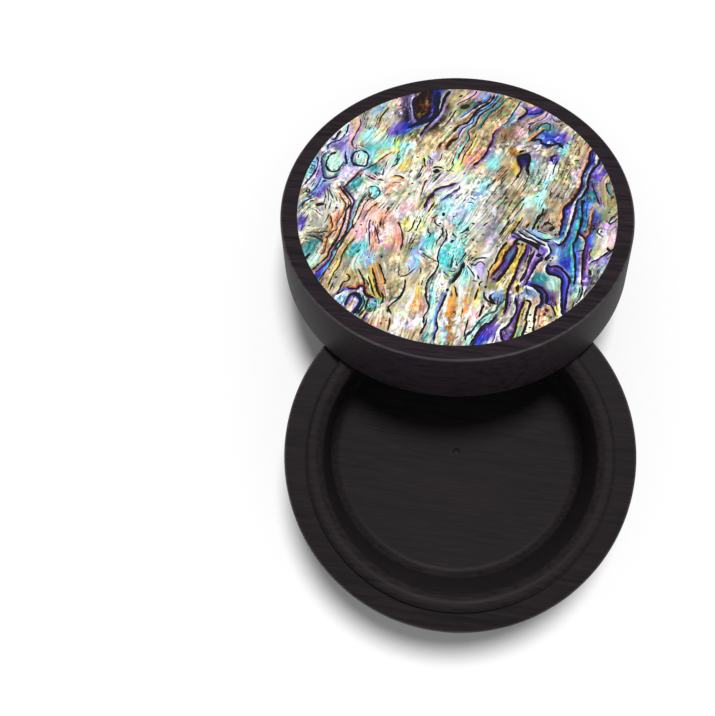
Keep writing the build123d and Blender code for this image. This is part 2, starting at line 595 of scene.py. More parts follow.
@dataclass
class BoxLid:
    """The turned lid: its sizes in mm, and how it is made and dressed."""

    radius: float = 40.0
    edge_round: float = 0.5
    height: float = 15.2
    seat_radius: float = 35.3
    seat_depth: float = 3.4
    mouth_round: float = 0.4
    hollow_radius: float = 31.0
    hollow_depth: float = 7.0
    hollow_fillet: float = 1.8
    hollow_edge_round: float = 0.6
    border_width: float = 3.8
    recess_depth: float = 1.25
    bed_thickness: float = 0.35

    def corners(self) -> list[Corner]:
        """Lists the lid's profile.

        Returns:
            Its corners, from the middle of the hollow's ceiling round to the middle of the recess.
        """
        recess_radius = self.radius - self.border_width
        recess_floor = self.height - self.recess_depth
        return [
            Corner(0, self.hollow_depth),
            Corner(self.hollow_radius, self.hollow_depth, self.hollow_fillet),
            Corner(self.hollow_radius, self.seat_depth, self.hollow_edge_round),
            Corner(self.seat_radius, self.seat_depth),
            Corner(self.seat_radius, 0, self.mouth_round),
            Corner(self.radius, 0, self.edge_round),
            Corner(self.radius, self.height, self.edge_round),
            Corner(recess_radius, self.height),
            Corner(recess_radius, recess_floor),
            Corner(0, recess_floor),
        ]

    def bed_middle(self) -> float:
        """Height of the middle of the adhesive bed above the lid's mouth."""
        return self.height - self.recess_depth + self.bed_thickness / 2

    def build(self, lathe: Lathe, place: LidPlace, wood: bpy.types.Material) -> bpy.types.Object:
        """Turns the lid and puts it in the place of its node.

        Args:
            lathe: The lathe that turns it.
            place: Where the lid leans.
            wood: The lid's material.

        Returns:
            The piece.
        """
        piece = lathe.turn("turned_lid", self.corners(), place.matrix(), wood)
        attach(piece, "box_lid")
        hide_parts("lid")
        return piece


class Hue(Enum):
    """Colours seen in polished abalone shell, named as they read to the eye, in sRGB."""

    WHITE = "#f4f6f2"
    CREAM = "#e8dfc4"
    SAND = "#cdbd98"
    TAN = "#b8a581"
    GREY = "#b3b2a9"
    SMOKE = "#8a8b8c"
    OLIVE = "#98926a"
    MOSS = "#6f8464"
    LIME = "#cde58e"
    MINT = "#bdeedb"
    CYAN = "#8fe3e6"
    TURQUOISE = "#55c0c2"
    TEAL = "#2f7f8a"
    SKY = "#93b9ea"
    BLUE = "#4f74d8"
    COBALT = "#2b3cae"
    NAVY = "#181a4c"
    VIOLET = "#6a58b8"
    LAVENDER = "#b9aee0"
    PURPLE = "#5d3880"
    PLUM = "#42233f"
    ROSE = "#e2b0bd"
    PINK = "#f0c6c4"
    SALMON = "#e8a184"
    ORANGE = "#dd8b40"
    GOLD = "#e6c560"
    AMBER = "#ad742c"
    RUST = "#8f3a1f"
    BROWN = "#472a18"
    UMBER = "#1d100c"


(WHITE, CREAM, SAND, TAN, GREY, SMOKE, OLIVE, MOSS, LIME, MINT, CYAN, TURQUOISE, TEAL, SKY, BLUE,
 COBALT, NAVY, VIOLET, LAVENDER, PURPLE, PLUM, ROSE, PINK, SALMON, ORANGE, GOLD, AMBER, RUST, BROWN,
 UMBER) = Hue


@dataclass(frozen=True)
class Blot:
    """A mark's colour, its middle, half its length and width, and its slant, in mm and degrees."""

    hue: Hue
    u: float
    v: float
    long: float
    wide: float
    angle: float = 0.0

    def find(self, points: np.ndarray, reach: float) -> tuple[np.ndarray, np.ndarray, np.ndarray]:
        """Finds the points near the mark.

        Args:
            points: Places on the lid.
            reach: How far to look from the mark's middle, in mm.

        Returns:
            The near points' numbers, and how far they lie along and across the mark, where 1 is its edge.
        """
        near = np.flatnonzero(np.abs(points - (self.u, self.v)).max(-1) < reach)
        away = points[near] - (self.u, self.v)
        slant = math.radians(self.angle)
        along = away[:, 0] * math.cos(slant) + away[:, 1] * math.sin(slant)
        across = away[:, 1] * math.cos(slant) - away[:, 0] * math.sin(slant)
        return near, along / self.long, across / self.wide


@dataclass(frozen=True)
class Patch(Blot):
    """A soft patch of colour, and its strength."""

    weight: float = 1.0


@dataclass(frozen=True)
class Spot(Blot):
    """A dark spot with a clear edge."""


@dataclass(frozen=True)
class GrowthLine:
    """A dark growth line through points given from its upper end down, with a glow on either side."""

    width: float
    ink: Hue
    points: tuple[tuple[float, float], ...]
    left: Hue | None = None
    right: Hue | None = None
    glow: float = 0.6


def line(width: float, ink: Hue, *points: tuple[float, float], **glows: Hue | float) -> GrowthLine:
    """Makes a growth line of a width in mm and a colour through points in mm on the lid."""
    return GrowthLine(width, ink, points, **glows)


def spots(ink: Hue, *shapes: tuple[float, ...]) -> list[Spot]:
    """Makes dark spots of one colour."""
    return [Spot(ink, *shape) for shape in shapes]


def patches(hue: Hue, *shapes: tuple[float, ...]) -> list[Patch]:
    """Makes soft patches of one colour."""
    return [Patch(hue, *shape) for shape in shapes]


# The drawing of the shell, in mm on the lid: u to the right, v to the heel. Its lines go area by area

# Rim and loops left of the upper eye
UPPER_LEFT = [
    line(0.4, NAVY, (-24.6, 26), (-25.1, 23.4), (-26.6, 21.3), (-28, 20.7), (-29.2, 19.8), (-29.5, 18.2),
        left=SKY, right=LAVENDER),
    line(0.5, NAVY, (-26.4, 24.2), (-27.6, 21.9), (-28.6, 21.3), left=LAVENDER),
    line(0.35, BROWN, (-21.9, 27.3), (-21.8, 25.6), (-23.6, 21.2), (-23.7, 19.7), (-23.2, 18.8),
        (-22.5, 18.3), left=SALMON, right=LAVENDER),
    line(0.35, BROWN, (-15.2, 30.8), (-16.9, 28), (-17.4, 26.3), left=GOLD),
    line(0.25, BROWN, (-15.3, 22.6), (-15.8, 21.2)),
    line(0.25, PLUM, (-13.4, 22), (-13.9, 20.2)),
]

# The brown eye with its blue and violet rim, and the dark sweep right of it
UPPER_EYE = [
    line(1.1, NAVY, (-3.2, 35.5), (-3.6, 31), (-4.6, 27.8), (-6.6, 26.3), (-9.2, 25.4), (-10.6, 24.4),
        left=COBALT, right=BLUE, glow=1.1),
    line(0.6, NAVY, (-9, 33.8), (-9.4, 31.6), (-8.8, 27), left=LAVENDER, glow=1.2),
    line(0.7, UMBER, (-0.5, 35.6), (-1.7, 33.6), (-3, 29.3), (-4, 27.6), (-6.7, 24.2), (-7.9, 22),
        left=CREAM, right=LAVENDER, glow=0.7),
    line(0.35, BROWN, (0.9, 29.8), (-1.5, 25.6), (-2.9, 24.3), left=CREAM),
    line(0.3, BROWN, (0.3, 24.5), (0, 23.2)),
    line(0.25, BROWN, (-5.4, 19), (-5.8, 18.2)),
    line(0.3, RUST, (-3, 19.5), (-3.4, 18), left=ORANGE),
]

# The close bands that come down from the heel's rim
UPPER_BANDS = [
    line(0.35, NAVY, (5.9, 35.6), (5.5, 34.6), (4.2, 33.4), (1.6, 31.8), (1, 31), left=LAVENDER,
        right=SALMON, glow=0.45),
    line(0.35, NAVY, (9.3, 34.2), (8.8, 32.9), (7.9, 31.9), (6.4, 31.2), (1.8, 27.2), left=BLUE, right=CREAM,
        glow=0.4),
    line(0.6, UMBER, (10.1, 34), (9.4, 32.6), (8.4, 31.5), (5.7, 29.4), (3.6, 26), (2.5, 25.3), (1.3, 24.9),
        (0, 23), left=SALMON, right=WHITE, glow=0.45),
    line(0.35, PLUM, (11, 34), (9, 31), (6.2, 29), (5.3, 27.9), (4.8, 26.8), (4.6, 25.6), (2.1, 23.9),
        (0.9, 21.2), left=BLUE, right=LAVENDER, glow=0.4),
    line(0.85, BROWN, (1, 21.4), (0.5, 20.8), (-0.5, 20.3), (-1.9, 18.2), left=ORANGE, glow=0.5),
    line(0.35, PLUM, (11.7, 33.6), (9.6, 30.6), (6.9, 28.5), (5.9, 27.1), (5.1, 24.9), (3.9, 23.9),
        (3.3, 22.8), (3.7, 21.6), (3.3, 20.2), (1.1, 16.1), (0.8, 14.9), left=TURQUOISE, right=SALMON,
        glow=0.45),
    line(0.3, BROWN, (12.2, 32), (11.4, 30.9), (8.6, 28.1), (6.2, 23.9), left=TEAL, right=TAN),
    line(0.3, BROWN, (5.3, 22.2), (3.7, 18.5), (2.3, 16.1), (1.5, 13.7), (1, 13), right=GOLD, glow=0.5),
    line(0.35, PLUM, (16.3, 32.2), (12.5, 25.6), (11.4, 24.9), left=SAND, right=SKY, glow=0.5),
    line(0.5, UMBER, (10.2, 23.6), (9.2, 22.1), (8.9, 20.3), (7, 15.9), (5.2, 13.7), (4.2, 13), left=SALMON,
        right=VIOLET, glow=0.55),
    line(0.25, BROWN, (3, 12), (1.8, 10.2)),
    line(0.3, NAVY, (4.2, 35.2), (3.2, 34.2)),
    line(0.3, RUST, (11, 22.5), (11.2, 21)),
    line(0.3, PLUM, (12.4, 22), (11.5, 20.3)),
    line(0.3, BROWN, (0.5, 17.2), (0, 15.5)),
]

# The dark loops and the blue flower near the right rim
UPPER_RIGHT = [
    line(0.8, UMBER, (16.5, 30.2), (17.2, 29.6), (17.3, 28.4), (15.1, 26.3), left=SAND, right=VIOLET),
    line(0.6, NAVY, (21.3, 29.3), (20.6, 28.4), (19.6, 28), (17.4, 28), left=VIOLET, right=BLUE),
    line(0.4, MOSS, (22.2, 28.5), (21.8, 27.2), (20.7, 26.3), (17.3, 24.8), left=ROSE, right=LAVENDER,
        glow=0.8),
    line(0.4, BROWN, (21.4, 23), (22.3, 23), (22.6, 24.2), (22.2, 25), (21, 24.9), (20, 24.2), (19.3, 22.8)),
    line(0.5, BROWN, (21.2, 23.2), (17.8, 19.9), left=ORANGE),
    line(0.75, UMBER, (18, 19.8), (19.2, 20.2), (20.2, 20.1), (20.2, 19.2), (22, 18.4), (23.2, 18.6),
        (24, 19), (25.2, 17.4)),
    line(0.3, PLUM, (23, 27.2), (23.6, 26), (24.4, 25.4), (25.3, 25.6)),
    line(0.3, BROWN, (23.4, 24.6), (23.4, 23.6)),
    line(0.3, BROWN, (28.7, 22), (27.9, 21.2), (27.4, 19.8)),
    line(0.25, BROWN, (17.8, 24.4), (17.6, 22.5), (17, 21.8)),
    line(0.3, PLUM, (14.2, 32.6), (13.2, 33.2)),
]

# Rim eye, loops and round cell on the left
LEFT_LOOPS = [
    line(0.45, NAVY, (-32.1, 16.3), (-31.6, 15.2), (-31.9, 13), (-32.8, 11), (-34.6, 8.2), left=SKY,
        right=LAVENDER),
    line(0.3, NAVY, (-33.2, 15.1), (-32.2, 14.6)),
    line(0.3, NAVY, (-33.4, 14.1), (-32.3, 13.6)),
    line(0.3, NAVY, (-33.8, 13.1), (-32.6, 12.6)),
    line(0.3, NAVY, (-34.3, 11.9), (-33, 11.4)),
    line(0.5, PURPLE, (-29.9, 17.5), (-30.7, 16.2), (-30.8, 14.4), (-30.3, 10.6), (-29.9, 10), (-28.8, 9.8),
        (-27, 10.6), left=LAVENDER, right=TEAL),
    line(0.5, NAVY, (-27.3, 17.8), (-28.6, 16.9), (-29.3, 15.9), (-29.7, 14.4), (-29.6, 13.2), (-28.9, 12.1),
        (-27.8, 11.8), (-26.8, 12.3), (-25.9, 14.4), right=MINT),
    line(0.45, NAVY, (-25.2, 17.9), (-25.3, 16.4), (-25, 14.1), (-25.8, 14.6), left=LAVENDER, right=SKY),
    line(0.5, NAVY, (-21.5, 18), (-23.1, 17.4), (-23.8, 15.9), (-23.7, 14.5), (-22.9, 13.7), (-21.5, 13.3),
        (-20.5, 13.5), (-19.9, 16), (-20.4, 17.2), (-21.5, 18), left=SKY),
    line(0.35, NAVY, (-23.8, 13.8), (-23.1, 13.3)),
    line(0.35, BROWN, (-17.8, 14.4), (-20.4, 12.5)),
    line(0.35, PURPLE, (-20.9, 11), (-19.3, 9.7), (-18, 9), right=ROSE),
    line(0.4, NAVY, (-33.9, 6.9), (-34.3, 6.2), (-33.6, 6), (-33.4, 6.6), (-33.9, 6.9)),
    line(0.35, NAVY, (-34.5, 6.2), (-35.2, 5.3)),
    line(0.45, NAVY, (-33, 5.9), (-34.3, 4.8)),
    line(0.4, NAVY, (-33, 4.2), (-34.4, 3.3), (-35.1, 2), left=SKY),
    line(0.3, BROWN, (-32.1, 3.5), (-33.2, 3.4), (-33.4, 2.8)),
    line(0.45, NAVY, (-29.6, 2.6), (-29.8, 1.2)),
    line(0.3, NAVY, (-32.6, 1.2), (-31.4, 0.2)),
    line(0.4, TEAL, (-29, 6.8), (-28, 4)),
    line(0.4, TEAL, (-28.4, 3), (-29, 1)),
    line(0.3, VIOLET, (-32, 9.5), (-33, 7.5)),
]

# The bundle of lines that comes down the left side and runs out to the rim
LEFT_BUNDLE = [
    line(0.45, BROWN, (-22.3, 11.7), (-22.8, 10.6), (-25.2, 7.7), (-25.4, 6.8), (-23.4, 3.7), (-23.5, 2),
        (-24, 0.5), (-24.5, -3.4), (-25, -5.4), (-25.8, -7.1), (-27.9, -10.4), (-28.2, -11.9),
        (-28.9, -13.4), (-31.7, -16.6), left=SALMON, right=VIOLET, glow=0.4),
    line(0.45, UMBER, (-26.7, 7.6), (-24.1, 3.4), (-24.2, 2), (-24.9, 0.8), (-25.6, -2.8), (-26.9, -7.3),
        (-28.5, -10.2), (-28.9, -11.7), (-29.8, -13), (-32.4, -15.8), left=ORANGE, right=LAVENDER, glow=0.4),
    line(0.3, RUST, (-26.6, 5.6), (-26, 4), (-25.3, 2.9), (-25.2, 1.6), (-25.9, -0.8), (-27, -3),
        (-27.1, -4.9), (-28, -5.3), (-29.3, -7.9), (-29.7, -10.6), (-30.2, -11.4), (-30.8, -11.3),
        left=ORANGE, right=PINK, glow=0.4),
    line(0.35, BROWN, (-20.3, 4.9), (-21.3, 3.8), (-21.9, 2.6), (-23.6, -3), (-23.6, -3.9), (-26.7, -9.9),
        (-27.8, -13), (-30.8, -18.5), left=TURQUOISE, right=SALMON, glow=0.4),
    line(0.35, BROWN, (-23.2, -7.1), (-23.5, -8), (-24.3, -8.8), (-25.6, -11.2), (-26.3, -14.3),
        (-27.8, -17.1), (-28.8, -20.2), left=GOLD),
    line(0.3, BROWN, (-19.3, 4), (-20.9, 2), (-22.4, -2.3)),
    line(0.3, BROWN, (-17.8, 2.7), (-19.9, 0.4), (-21.1, -2.3)),
    line(0.3, BROWN, (-22.7, -2.5), (-23.5, -4.5)),
    line(0.35, BROWN, (-19.9, 6.9), (-19.7, 5.4), (-19.9, 4.6), (-18.7, 3.6), (-17.9, 4.4), (-17.4, 5.4),
        (-17.6, 6.6), (-18.4, 7.3), (-19.4, 7.2), (-19.9, 6.9)),
    line(0.3, NAVY, (-31.8, 0.3), (-30.2, -1)),
    line(0.3, PURPLE, (-29, -0.2), (-29.1, -1.2), (-29.9, -3)),
    line(0.4, RUST, (-28.5, -0.8), (-28.1, -3.6), (-28.3, -4.7), left=ORANGE),
    line(0.3, BROWN, (-34.1, -5.3), (-30.9, -5.5), (-29.1, -5.1)),
    line(0.3, BROWN, (-32.3, -6.3), (-30.2, -7.9)),
    line(0.3, BROWN, (-31.8, -4.4), (-31.2, -4.6), (-30.7, -4.1)),
    line(0.3, NAVY, (-34.8, -3.4), (-35.2, -5)),
    line(0.4, PURPLE, (-19.4, -2.1), (-19.8, -3.4), (-19.7, -9.5)),
    line(0.3, BROWN, (-18.6, -3.6), (-17.7, -7.5), (-17.6, -9.1)),
]

# Gold, cyan and brown figures round the middle of the disc
MIDDLE = [
    line(0.3, UMBER, (-14.4, 17.4), (-16.7, 15.6), (-17.9, 14.2), right=SALMON),
    line(0.3, BROWN, (-12.7, 17.7), (-13.2, 16.3), (-13.4, 13.9), (-14.8, 12.7)),
    line(0.35, TEAL, (-15.6, 14.6), (-16.5, 11.6), (-16.6, 10.3)),
    line(0.5, VIOLET, (-16.4, 9), (-18, 9.4)),
    line(0.3, TEAL, (-16.5, 10.5), (-18, 11.2)),
    line(0.45, UMBER, (-14.4, 10.1), (-13.2, 10.3), (-12.4, 10), (-11.8, 9.4), left=ORANGE),
    line(0.4, UMBER, (-7, 15.6), (-7, 13.8), (-6.6, 12.6), left=GOLD),
    line(0.35, PLUM, (-7.3, 13.4), (-9, 9.1), left=GREY),
    line(0.3, BROWN, (-6.2, 16.2), (-5.6, 15.2), (-4.9, 14.7)),
    line(0.25, BROWN, (-2.9, 16.8), (-3.2, 15.2), (-3.9, 14)),
    line(0.45, UMBER, (-2.6, 12.2), (-4.2, 12.7), (-5.2, 12.2)),
    line(0.35, BROWN, (-3.2, 10.8), (-5.4, 8), right=LAVENDER),
    line(0.3, PLUM, (-6.4, 9.1), (-7.1, 7.8), (-8.2, 4), left=SALMON),
    line(0.6, BROWN, (0, 7.9), (-1.2, 7.2), (-2.8, 6.8), (-4.6, 5.9), (-6.4, 3.3), (-7.3, 0.8), left=SAND,
        right=VIOLET),
    line(0.35, UMBER, (-4.9, 2.4), (-6.6, -0.4), right=GOLD),
    line(0.3, UMBER, (0.3, 6.2), (-3.6, 2.9), right=VIOLET),
    line(0.3, BROWN, (-0.2, 11.3), (-1.6, 11.5)),
    line(0.3, BROWN, (1, 7.2), (0.6, 6), (-0.3, 5.4)),
    line(0.4, BLUE, (3.1, 3.7), (4.2, 3)),
    line(0.25, BROWN, (2.5, 2), (3.2, 2.3), (4, 1.8)),
]

# Commas, short strokes and the pale streak right of the middle
RIGHT_MIDDLE = [
    line(0.25, BROWN, (11.2, 12.8), (9.3, 10.3)),
    line(0.25, BROWN, (12.1, 11.7), (9.4, 8.1), left=SALMON),
    line(0.25, BROWN, (12, 10.5), (10.8, 8.9), (10.2, 7.4), (9.3, 6.1)),
    line(0.25, UMBER, (8.5, 5), (6.5, 2)),
    line(0.25, UMBER, (7.1, 4.6), (5.7, 3.3)),
    line(0.25, UMBER, (10.2, 3.6), (7.9, 1.1)),
    line(0.25, BROWN, (10.8, 4.6), (11.7, 3.9)),
    line(0.65, UMBER, (13.9, 8.8), (15.2, 11.5), (15, 13), (14.6, 14), (15, 15), (15.8, 15.7), (16.9, 15.8),
        (17.4, 15.2), (16.5, 11.5), (16.8, 10.6), (16.6, 9.8)),
    line(0.3, BROWN, (14.1, 9.2), (12.5, 6.8)),
    line(0.3, BROWN, (15.5, 3.3), (13.4, 0.7), (11.2, -2.9)),
    line(0.25, BROWN, (15.4, 1.9), (14.3, -0.2), (12.8, -2)),
    line(0.5, UMBER, (23.9, 15.2), (22.9, 15.3), (22.2, 14.6), (22.6, 13.4)),
    line(0.35, UMBER, (23.7, 13.7), (23, 12.4), (22.1, 9.6)),
    line(0.35, UMBER, (28.7, 13.8), (27.6, 13.7)),
    line(0.25, BLUE, (22.9, 5.7), (22.4, 4.9)),
    line(0.35, BLUE, (23.3, 3.7), (22.7, 2.4)),
]

# The long blue and violet bands on the right, and the rim beside them
RIGHT_BANDS = [
    line(0.6, UMBER, (32, 16.9), (31.2, 15.7), (30.8, 13.1), (29, 9.2), (28.4, 6.1), (26.2, 2.2), (24.2, 0),
        (24, -2.3), (23.5, -3.4), (23.4, -4.6), (22.6, -7.4), left=SALMON, right=COBALT, glow=0.9),
    line(0.55, UMBER, (33.2, 14.2), (33, 12.8), (31, 10.2), (30.1, 7.4), (30, 6.1), (29.3, 4.6), (28.4, 3.1),
        (27.3, 2), (26.4, -1.6), (24.6, -7.2), (23.2, -9.6), (22.2, -10), (21.6, -9.4), left=WHITE,
        right=VIOLET, glow=0.7),
    line(0.6, UMBER, (29, 2.4), (28.4, 1.3), (28, -3.2), (26.4, -8.4), (25.7, -9.6), (25.5, -10.8),
        (25.7, -14.2), (25.3, -19.2), (24.9, -20.8), left=TURQUOISE, right=BLUE, glow=0.7),
    line(0.5, UMBER, (26.9, -6.8), (28.3, -8.6), (28, -11.2), (27.6, -12.6), (26.6, -21), left=CREAM,
        right=PURPLE),
    line(0.45, RUST, (30.7, -1), (29.7, -6.2), (29.2, -7.4), (28.3, -8.6), left=SALMON, right=COBALT,
        glow=0.7),
    line(0.4, UMBER, (28, -11.4), (27, -11.8), (26, -11.8)),
    line(0.35, UMBER, (31.4, 7.2), (31.1, 6.3), (32.3, 0.9), right=VIOLET),
    line(0.4, UMBER, (34.9, 7.2), (34.2, 6.5), (34.7, 3.5), right=TEAL),
    line(0.5, RUST, (35.8, 3.5), (34.9, 2.4)),
    line(0.3, UMBER, (25.4, 1.9), (24, 0.2)),
    line(0.35, UMBER, (31.7, -5.6), (31.2, -6.5), (31.5, -7.4), (32.2, -7.6), left=GREY),
    line(0.4, UMBER, (35.7, -2.2), (34.6, -2.9), (34, -4.2), (34.3, -4.5), (35.2, -3.9), (35.9, -3)),
    line(0.45, UMBER, (33.2, -12.2), (30.8, -14), (29, -15), left=WHITE, right=VIOLET),
    line(0.35, UMBER, (29.6, -11.2), (29, -12.6), (29.1, -13.6), (28.4, -14.8)),
    line(0.6, UMBER, (33.1, -10.8), (33.3, -11.7), (34, -12.2)),
    line(0.35, UMBER, (26.2, -21.4), (25.9, -23), (25.4, -24), left=MINT),
    line(0.4, UMBER, (26.9, -21.6), (26, -24.4), (25.4, -25.2), right=WHITE),
    line(0.35, NAVY, (27.7, -21.8), (26.8, -24)),
    line(0.35, BROWN, (28.9, -19.8), (28.6, -20.8)),
    line(0.3, BROWN, (29.6, -20), (29, -21.2)),
]

# The pink field's edge, cyan columns and dark thread below the middle
LOWER_MIDDLE = [
    line(0.5, RUST, (-13.3, -2.8), (-12.7, -4.7), (-12.3, -8.2), (-12.9, -10.8), left=PINK),
    line(0.3, RUST, (-13, -11.6), (-13.3, -12.5)),
    line(0.3, UMBER, (-9.5, -2.4), (-10.3, -4.9), (-11.3, -5.9)),
    line(0.3, UMBER, (-8, -2.3), (-9.4, -5.7)),
    line(0.3, BROWN, (-9.6, -7.7), (-10.6, -9.4)),
    line(0.35, BROWN, (-6.3, -4.7), (-6.7, -5.6), (-6.1, -6.5), (-6.3, -7.3), (-7, -7.7)),
    line(0.3, BROWN, (-4.3, -1), (-5, -1.8), (-5.7, -1.9)),
    line(0.35, NAVY, (-5, -2.3), (-4.9, -3.4), (-4.4, -4.1), (-3.6, -4.4)),
    line(0.35, UMBER, (-3, -4.3), (-3.4, -5.2), (-3.3, -6.2), (-4.6, -8.4), (-4.9, -9.5)),
    line(0.4, UMBER, (-2.6, -4.9), (-2.5, -7.5), (-4.2, -10.8), (-4.6, -13.4), (-4.4, -14.3), (-4.9, -16.2),
        (-7, -19.4), (-7.4, -22.4), (-7.3, -24), (-6.8, -26.2), (-7.9, -28.6), (-8.1, -30.4), left=WHITE,
        glow=0.5),
    line(0.5, UMBER, (-7.4, -29), (-7.7, -30.6), (-8.9, -33.2), right=ROSE),
    line(0.3, UMBER, (-8.2, -11.5), (-6.1, -13.2), (-4.3, -14.3)),
    line(0.3, BROWN, (-1.1, -6), (-0.8, -7.1), (0, -7.5)),
    line(0.35, TEAL, (-1.1, -12.3), (-1.8, -16)),
    line(0.3, BROWN, (-2.4, -16.5), (-1.3, -16.8), (-0.5, -16.2)),
    line(0.75, UMBER, (1.2, -14.5), (0.2, -17), (-1.6, -19.8), left=TEAL),
    line(0.3, BROWN, (-3.5, -16.7), (-2.6, -17.8), (-1.8, -18.2)),
    line(0.3, BROWN, (-13.5, -15), (-13.2, -16), (-13.4, -17.5)),
    line(0.3, BROWN, (-11.3, -14.9), (-10.9, -15.8), (-11.3, -16.7)),
    line(0.3, PURPLE, (-9.6, -15.8), (-11.3, -17.4), (-13.1, -18)),
    line(0.3, BROWN, (-8.7, -15.5), (-8.3, -16.3), (-8.7, -17.3)),
    line(0.35, UMBER, (1.8, -11.6), (0.2, -14.3)),
    line(0.5, NAVY, (2.6, -4.6), (2.2, -5.3), (1.4, -6), (0.4, -6.5), left=CYAN),
    line(0.45, UMBER, (6.9, -3.4), (5.5, -4.6)),
    line(0.5, PLUM, (6.4, -13.3), (5.2, -13.2), (4, -13.5), (3.1, -14.2)),
    line(0.5, UMBER, (1.7, -15), (3.1, -17.4), (3.4, -18.4), right=WHITE),
    line(0.4, BROWN, (5.8, -15.6), (5.4, -14.6), (4.6, -14.3), (3.4, -15.2), (2.5, -14.6)),
    line(0.35, UMBER, (6.2, -16.4), (6.5, -17.4), (5.9, -20)),
    line(0.35, UMBER, (4.1, -17.8), (4.4, -19.2)),
    line(0.45, UMBER, (-2.9, -22.8), (-5.1, -28.6), (-5.1, -31.8), (-5.7, -33.2), (-5.9, -34.8), left=BLUE,
        right=CREAM),
    line(0.35, BROWN, (-1.1, -20.6), (-0.6, -23.6), left=GOLD),
    line(0.35, UMBER, (-0.6, -33.6), (-1.4, -34.4)),
    line(0.3, BROWN, (-4.8, -24.3), (-5.2, -25)),
]

# The blue and white zebra band, and the gold and purple stripes under it
ZEBRA_AND_STRIPES = [
    line(0.5, UMBER, (18.6, -1.6), (16.7, -5.9)),
    line(0.4, UMBER, (18.3, -4.4), (17.8, -5.8)),
    line(0.4, UMBER, (19.6, 0.4), (19.2, -1.2), (17.8, -3.6)),
    line(0.4, BROWN, (16.2, -3.8), (15.2, -5.4), left=ORANGE),
    line(0.4, UMBER, (14.8, -2.2), (12, -6.9), left=GOLD),
    line(0.45, UMBER, (11.9, -3), (9.3, -7.1)),
    line(0.25, BROWN, (12.2, -3.4), (9.2, -8)),
    line(0.45, NAVY, (14.9, -5.5), (16.8, -7.2), (19.2, -8.8), (20.4, -9.2), left=WHITE, right=SKY,
        glow=0.4),
    line(0.45, NAVY, (13.5, -6), (15.3, -7.6), (16.4, -8.1), (19.4, -10.3), left=WHITE, right=LAVENDER,
        glow=0.4),
    line(0.45, NAVY, (12.6, -6.4), (14.9, -8.3), (18.4, -10.2), left=VIOLET, right=WHITE, glow=0.4),
    line(0.4, PURPLE, (11.9, -7.2), (15.4, -9.2)),
    line(0.7, UMBER, (12.3, -9.4), (13, -8.7), (14, -8.3), (17.2, -10.2), (17.7, -11.4)),
    line(0.4, UMBER, (19.9, -9.8), (20.4, -11), (20.4, -12.2), (19, -13.9), left=WHITE, right=BLUE,
        glow=0.5),
    line(0.45, UMBER, (20.9, -8.3), (20.2, -8.6), (19.2, -8.4)),
    line(0.35, UMBER, (18.2, -6.4), (19.3, -6.7), (20, -7.2)),
    line(0.35, UMBER, (18.8, -5.9), (20, -6.4)),
    line(0.45, UMBER, (19.3, -4.6), (19.8, -3.9), (20.6, -3.9), (21.2, -4.7)),
    line(0.5, UMBER, (11, -8.9), (9.3, -11.4), (8.2, -14.2), (7.3, -15.4), (6.6, -16.9), left=CREAM,
        right=GOLD),
    line(0.5, UMBER, (12.7, -9.3), (10.8, -11.9), (10.1, -13.3), (9.8, -14.5), (6.9, -18.3), left=ORANGE,
        right=PURPLE, glow=0.45),
    line(0.7, UMBER, (13.2, -10.4), (12.9, -11.9), (10.8, -16), (8.1, -19.8), left=PURPLE, right=GOLD,
        glow=0.5),
    line(0.6, UMBER, (15.1, -10), (14.9, -11.5), (13.3, -14.8), (12, -18.8), (10.6, -21.8), (9.9, -26.4),
        (9.3, -28), left=GOLD, right=PURPLE, glow=0.5),
    line(0.65, PLUM, (17, -11.3), (15.6, -14.4), (14.6, -17.4), (13.2, -20), left=SAND, right=LAVENDER,
        glow=0.5),
    line(0.55, NAVY, (18.6, -14.1), (17.2, -15), (14.3, -20.9), left=PURPLE, right=WHITE, glow=0.5),
]

